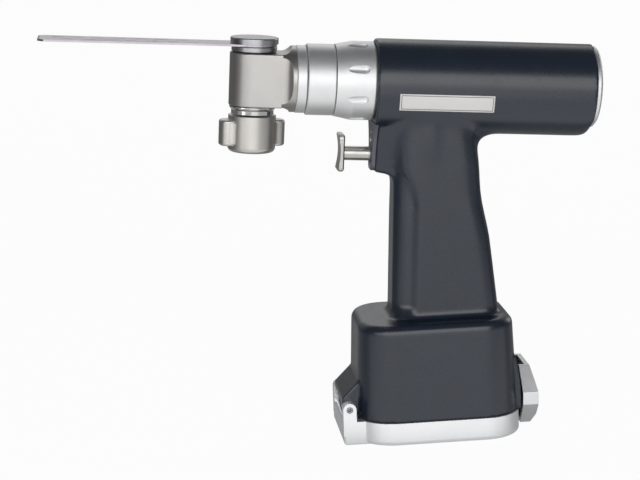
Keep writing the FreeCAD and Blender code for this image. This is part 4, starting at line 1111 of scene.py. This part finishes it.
@dataclass
class Studio:
    """The pale cove, the lamps and the world.

    Attributes:
        cove_front: Where the floor starts, towards the camera.
        cove_back: Where the wall stands.
        cove_half: Half the cove's width.
        cove_bend: Radius of the bend between floor and wall.
        cove_high: Height of the wall.
        cove_steps: Faces round the bend.
        lamps: The soft lamps.
        paper_tone: Colour of the paper where light falls on it.
        white_share: Share of plain white in what the camera sees of the paper, the rest being lit paper.
        mirror_painted_shadow: Brightness of the floor in the saw's reflections, beneath and behind it,
            where a painted shadow dims it.
        mirror_front: The same for the floor in front.
        mirror_wall: The same for the wall.
        front_span: Places along Y between which the floor brightens towards the camera.
        wall_span: Heights between which the wall brightens.
        side_span: Distances to the side between which the reflections darken.
        side_share: What is left of them there.
        fill_tint: Colour of the fill light.
        fill: Brightness of the fill light.
        fill_mirrored: Brightness of the fill light in reflections.
    """

    cove_front: float = -3.0
    cove_back: float = 1.6
    cove_half: float = 3.0
    cove_bend: float = 0.6
    cove_high: float = 2.6
    cove_steps: int = 16
    paper_tone: float = 0.90
    white_share: float = 0.95
    mirror_painted_shadow: float = 0.32
    mirror_front: float = 0.96
    mirror_wall: float = 0.82
    front_span: Span = (-0.015, -0.06)
    wall_span: Span = (0.10, 0.50)
    side_span: Span = (0.20, 0.50)
    side_share: float = 0.45
    fill_tint: Colour = (0.95, 0.94, 1.0)
    fill: float = 0.32
    fill_mirrored: float = 0.11
    lamps: tuple[Softbox, ...] = (
        Softbox("front_softbox", (-0.15, -1.75, 0.61), (0.0, 0.0, 0.14), 2.4, 1.15, 2.25),
        Softbox("left_softbox", (-1.45, -1.15, 0.37), (0.0, 0.0, 0.12), 0.7, 0.7, 1.70),
        Softbox("right_softbox", (1.35, 1.05, 0.45), (0.0, 0.0, 0.12), 0.7, 0.7, 1.30),
        Softbox("back_softbox", (0.0, 1.3, 1.2), (0.0, 0.0, 0.12), 1.6, 0.5, 0.80),
    )

    def cove(self) -> None:
        """Builds the floor that bends up into the backdrop."""
        form = bmesh.new()
        profile = [(self.cove_front, 0.0), (self.cove_back - self.cove_bend, 0.0)]
        for step in range(1, self.cove_steps + 1):
            angle = math.pi / 2 * step / self.cove_steps
            profile.append((self.cove_back - self.cove_bend * (1 - math.sin(angle)),
                            self.cove_bend * (1 - math.cos(angle))))
        profile.append((self.cove_back, self.cove_high))
        lines = []
        for side in (-self.cove_half, self.cove_half):
            lines.append([form.verts.new((side, y, z)) for y, z in profile])
        left, right = lines
        for place in range(len(profile) - 1):
            form.faces.new((left[place], right[place], right[place + 1], left[place + 1]))
        cove = link_mesh("cove", form)
        cove.data.materials.append(self.cove_material())
        LOG.info("built the cove")

    def cove_material(self) -> bpy.types.Material:
        """Makes the cove's paper, which keeps the saw's shadow.

        It is white to the camera. In reflections it shows a painted glow: bright in front of the saw,
        with painted shade beneath it and behind it where its shadow falls, and painted darker far to its
        sides in place of dark panels.

        Returns:
            The material.
        """
        material = bpy.data.materials.new("studio_paper")
        material.use_nodes = True
        board = NodeBoard(material.node_tree)
        board.tree.nodes.clear()
        output = board.add("ShaderNodeOutputMaterial")
        paper = board.add("ShaderNodeBsdfDiffuse")
        paper.inputs["Color"].default_value = (self.paper_tone, self.paper_tone, self.paper_tone, 1.0)
        glow = board.add("ShaderNodeEmission")
        path = board.add("ShaderNodeLightPath")
        place = board.add("ShaderNodeNewGeometry").outputs["Position"]
        spot = board.add("ShaderNodeSeparateXYZ")
        board.feed(spot.inputs[0], place)
        # Painted glow of the paper in reflections: a painted shadow dims it beneath and behind the saw,
        # and it is painted darker far to the sides.
        front = board.spread(spot.outputs[1], *self.front_span, self.mirror_painted_shadow, self.mirror_front)
        wall = board.spread(spot.outputs[2], *self.wall_span, self.mirror_painted_shadow, self.mirror_wall)
        aside = board.math("ABSOLUTE", spot.outputs[0])
        beside = board.spread(aside, *self.side_span, 1.0, self.side_share)
        mirrored = board.math("MULTIPLY", board.math("MAXIMUM", front, wall), beside)
        seen, glossy, passed = (path.outputs[name] for name in
                                ("Is Camera Ray", "Is Glossy Ray", "Is Transmission Ray"))
        board.feed(glow.inputs["Strength"], board.math("MAXIMUM", seen, mirrored))
        white = board.math("MULTIPLY", seen, self.white_share)
        share = board.math("MAXIMUM", white, board.math("MAXIMUM", glossy, passed))
        mix = board.add("ShaderNodeMixShader")
        board.feed(mix.inputs[0], share)
        board.feed(mix.inputs[1], paper.outputs[0])
        board.feed(mix.inputs[2], glow.outputs[0])
        board.feed(output.inputs["Surface"], mix.outputs[0])
        return material

    def world(self) -> None:
        """Makes the plain fill light, dimmer where the saw mirrors it and white past the cove."""
        world = bpy.data.worlds.new("studio_world")
        bpy.context.scene.world = world
        world.use_nodes = True
        board = NodeBoard(world.node_tree)
        board.tree.nodes.clear()
        output = board.add("ShaderNodeOutputWorld")
        fill = board.add("ShaderNodeBackground")
        fill.inputs["Color"].default_value = (*self.fill_tint, 1.0)
        path = board.add("ShaderNodeLightPath")
        dimmed = board.spread(path.outputs["Is Glossy Ray"], 0.0, 1.0, self.fill, self.fill_mirrored)
        strength = board.math("MAXIMUM", dimmed, path.outputs["Is Camera Ray"])
        board.feed(fill.inputs["Strength"], strength)
        board.feed(output.inputs["Surface"], fill.outputs[0])

    def build(self) -> None:
        """Builds the whole studio."""
        self.cove()
        self.world()
        for lamp in self.lamps:
            lamp.build()


@dataclass(frozen=True)
class PhotoCamera:
    """The photograph's view.

    Attributes:
        place: Camera position in metres.
        forward: Viewing direction.
        right: The picture's right-hand direction.
        focal_px: Focal length in pixels of the 640 pixel wide frame.
        image_px: Width of the frame in pixels.
        sensor_mm: Sensor width that the lens is given for.
    """

    place: Point = (-0.15023, -0.98317, 0.30515)
    forward: Point = (0.0938, 0.9748, -0.2023)
    right: Point = (0.994, -0.103, -0.0355)
    focal_px: float = 1996.6
    image_px: float = 640.0
    sensor_mm: float = 36.0

    def build(self) -> None:
        """Makes the camera and sets it as the scene's."""
        data = bpy.data.cameras.new("photo_camera")
        data.sensor_width = self.sensor_mm
        data.lens = self.focal_px * self.sensor_mm / self.image_px
        data.clip_start = 0.05
        data.clip_end = 20.0
        thing = bpy.data.objects.new("photo_camera", data)
        bpy.context.scene.collection.objects.link(thing)
        back = -Vector(self.forward).normalized()
        up = back.cross(Vector(self.right)).normalized()
        right = up.cross(back).normalized()
        turn = Matrix((right, up, back)).transposed().to_4x4()
        thing.matrix_world = Matrix.Translation(Vector(self.place)) @ turn
        bpy.context.scene.camera = thing
        LOG.info("placed the camera")


def main() -> None:
    """Builds the camera, the finishes, each sub-assembly and the studio, in that order."""
    logging.basicConfig(level=logging.INFO, format="%(message)s")
    bpy.context.scene.view_settings.view_transform = "Standard"
    PhotoCamera().build()
    wardrobe = Wardrobe()
    for assembly in (Handle(), Barrel(), Coupling(), SawHead(), BatteryBase()):
        assembly.build(wardrobe)
        LOG.info("finished the %s", type(assembly).__name__)
    Studio().build()


if __name__ == "__main__":
    main()
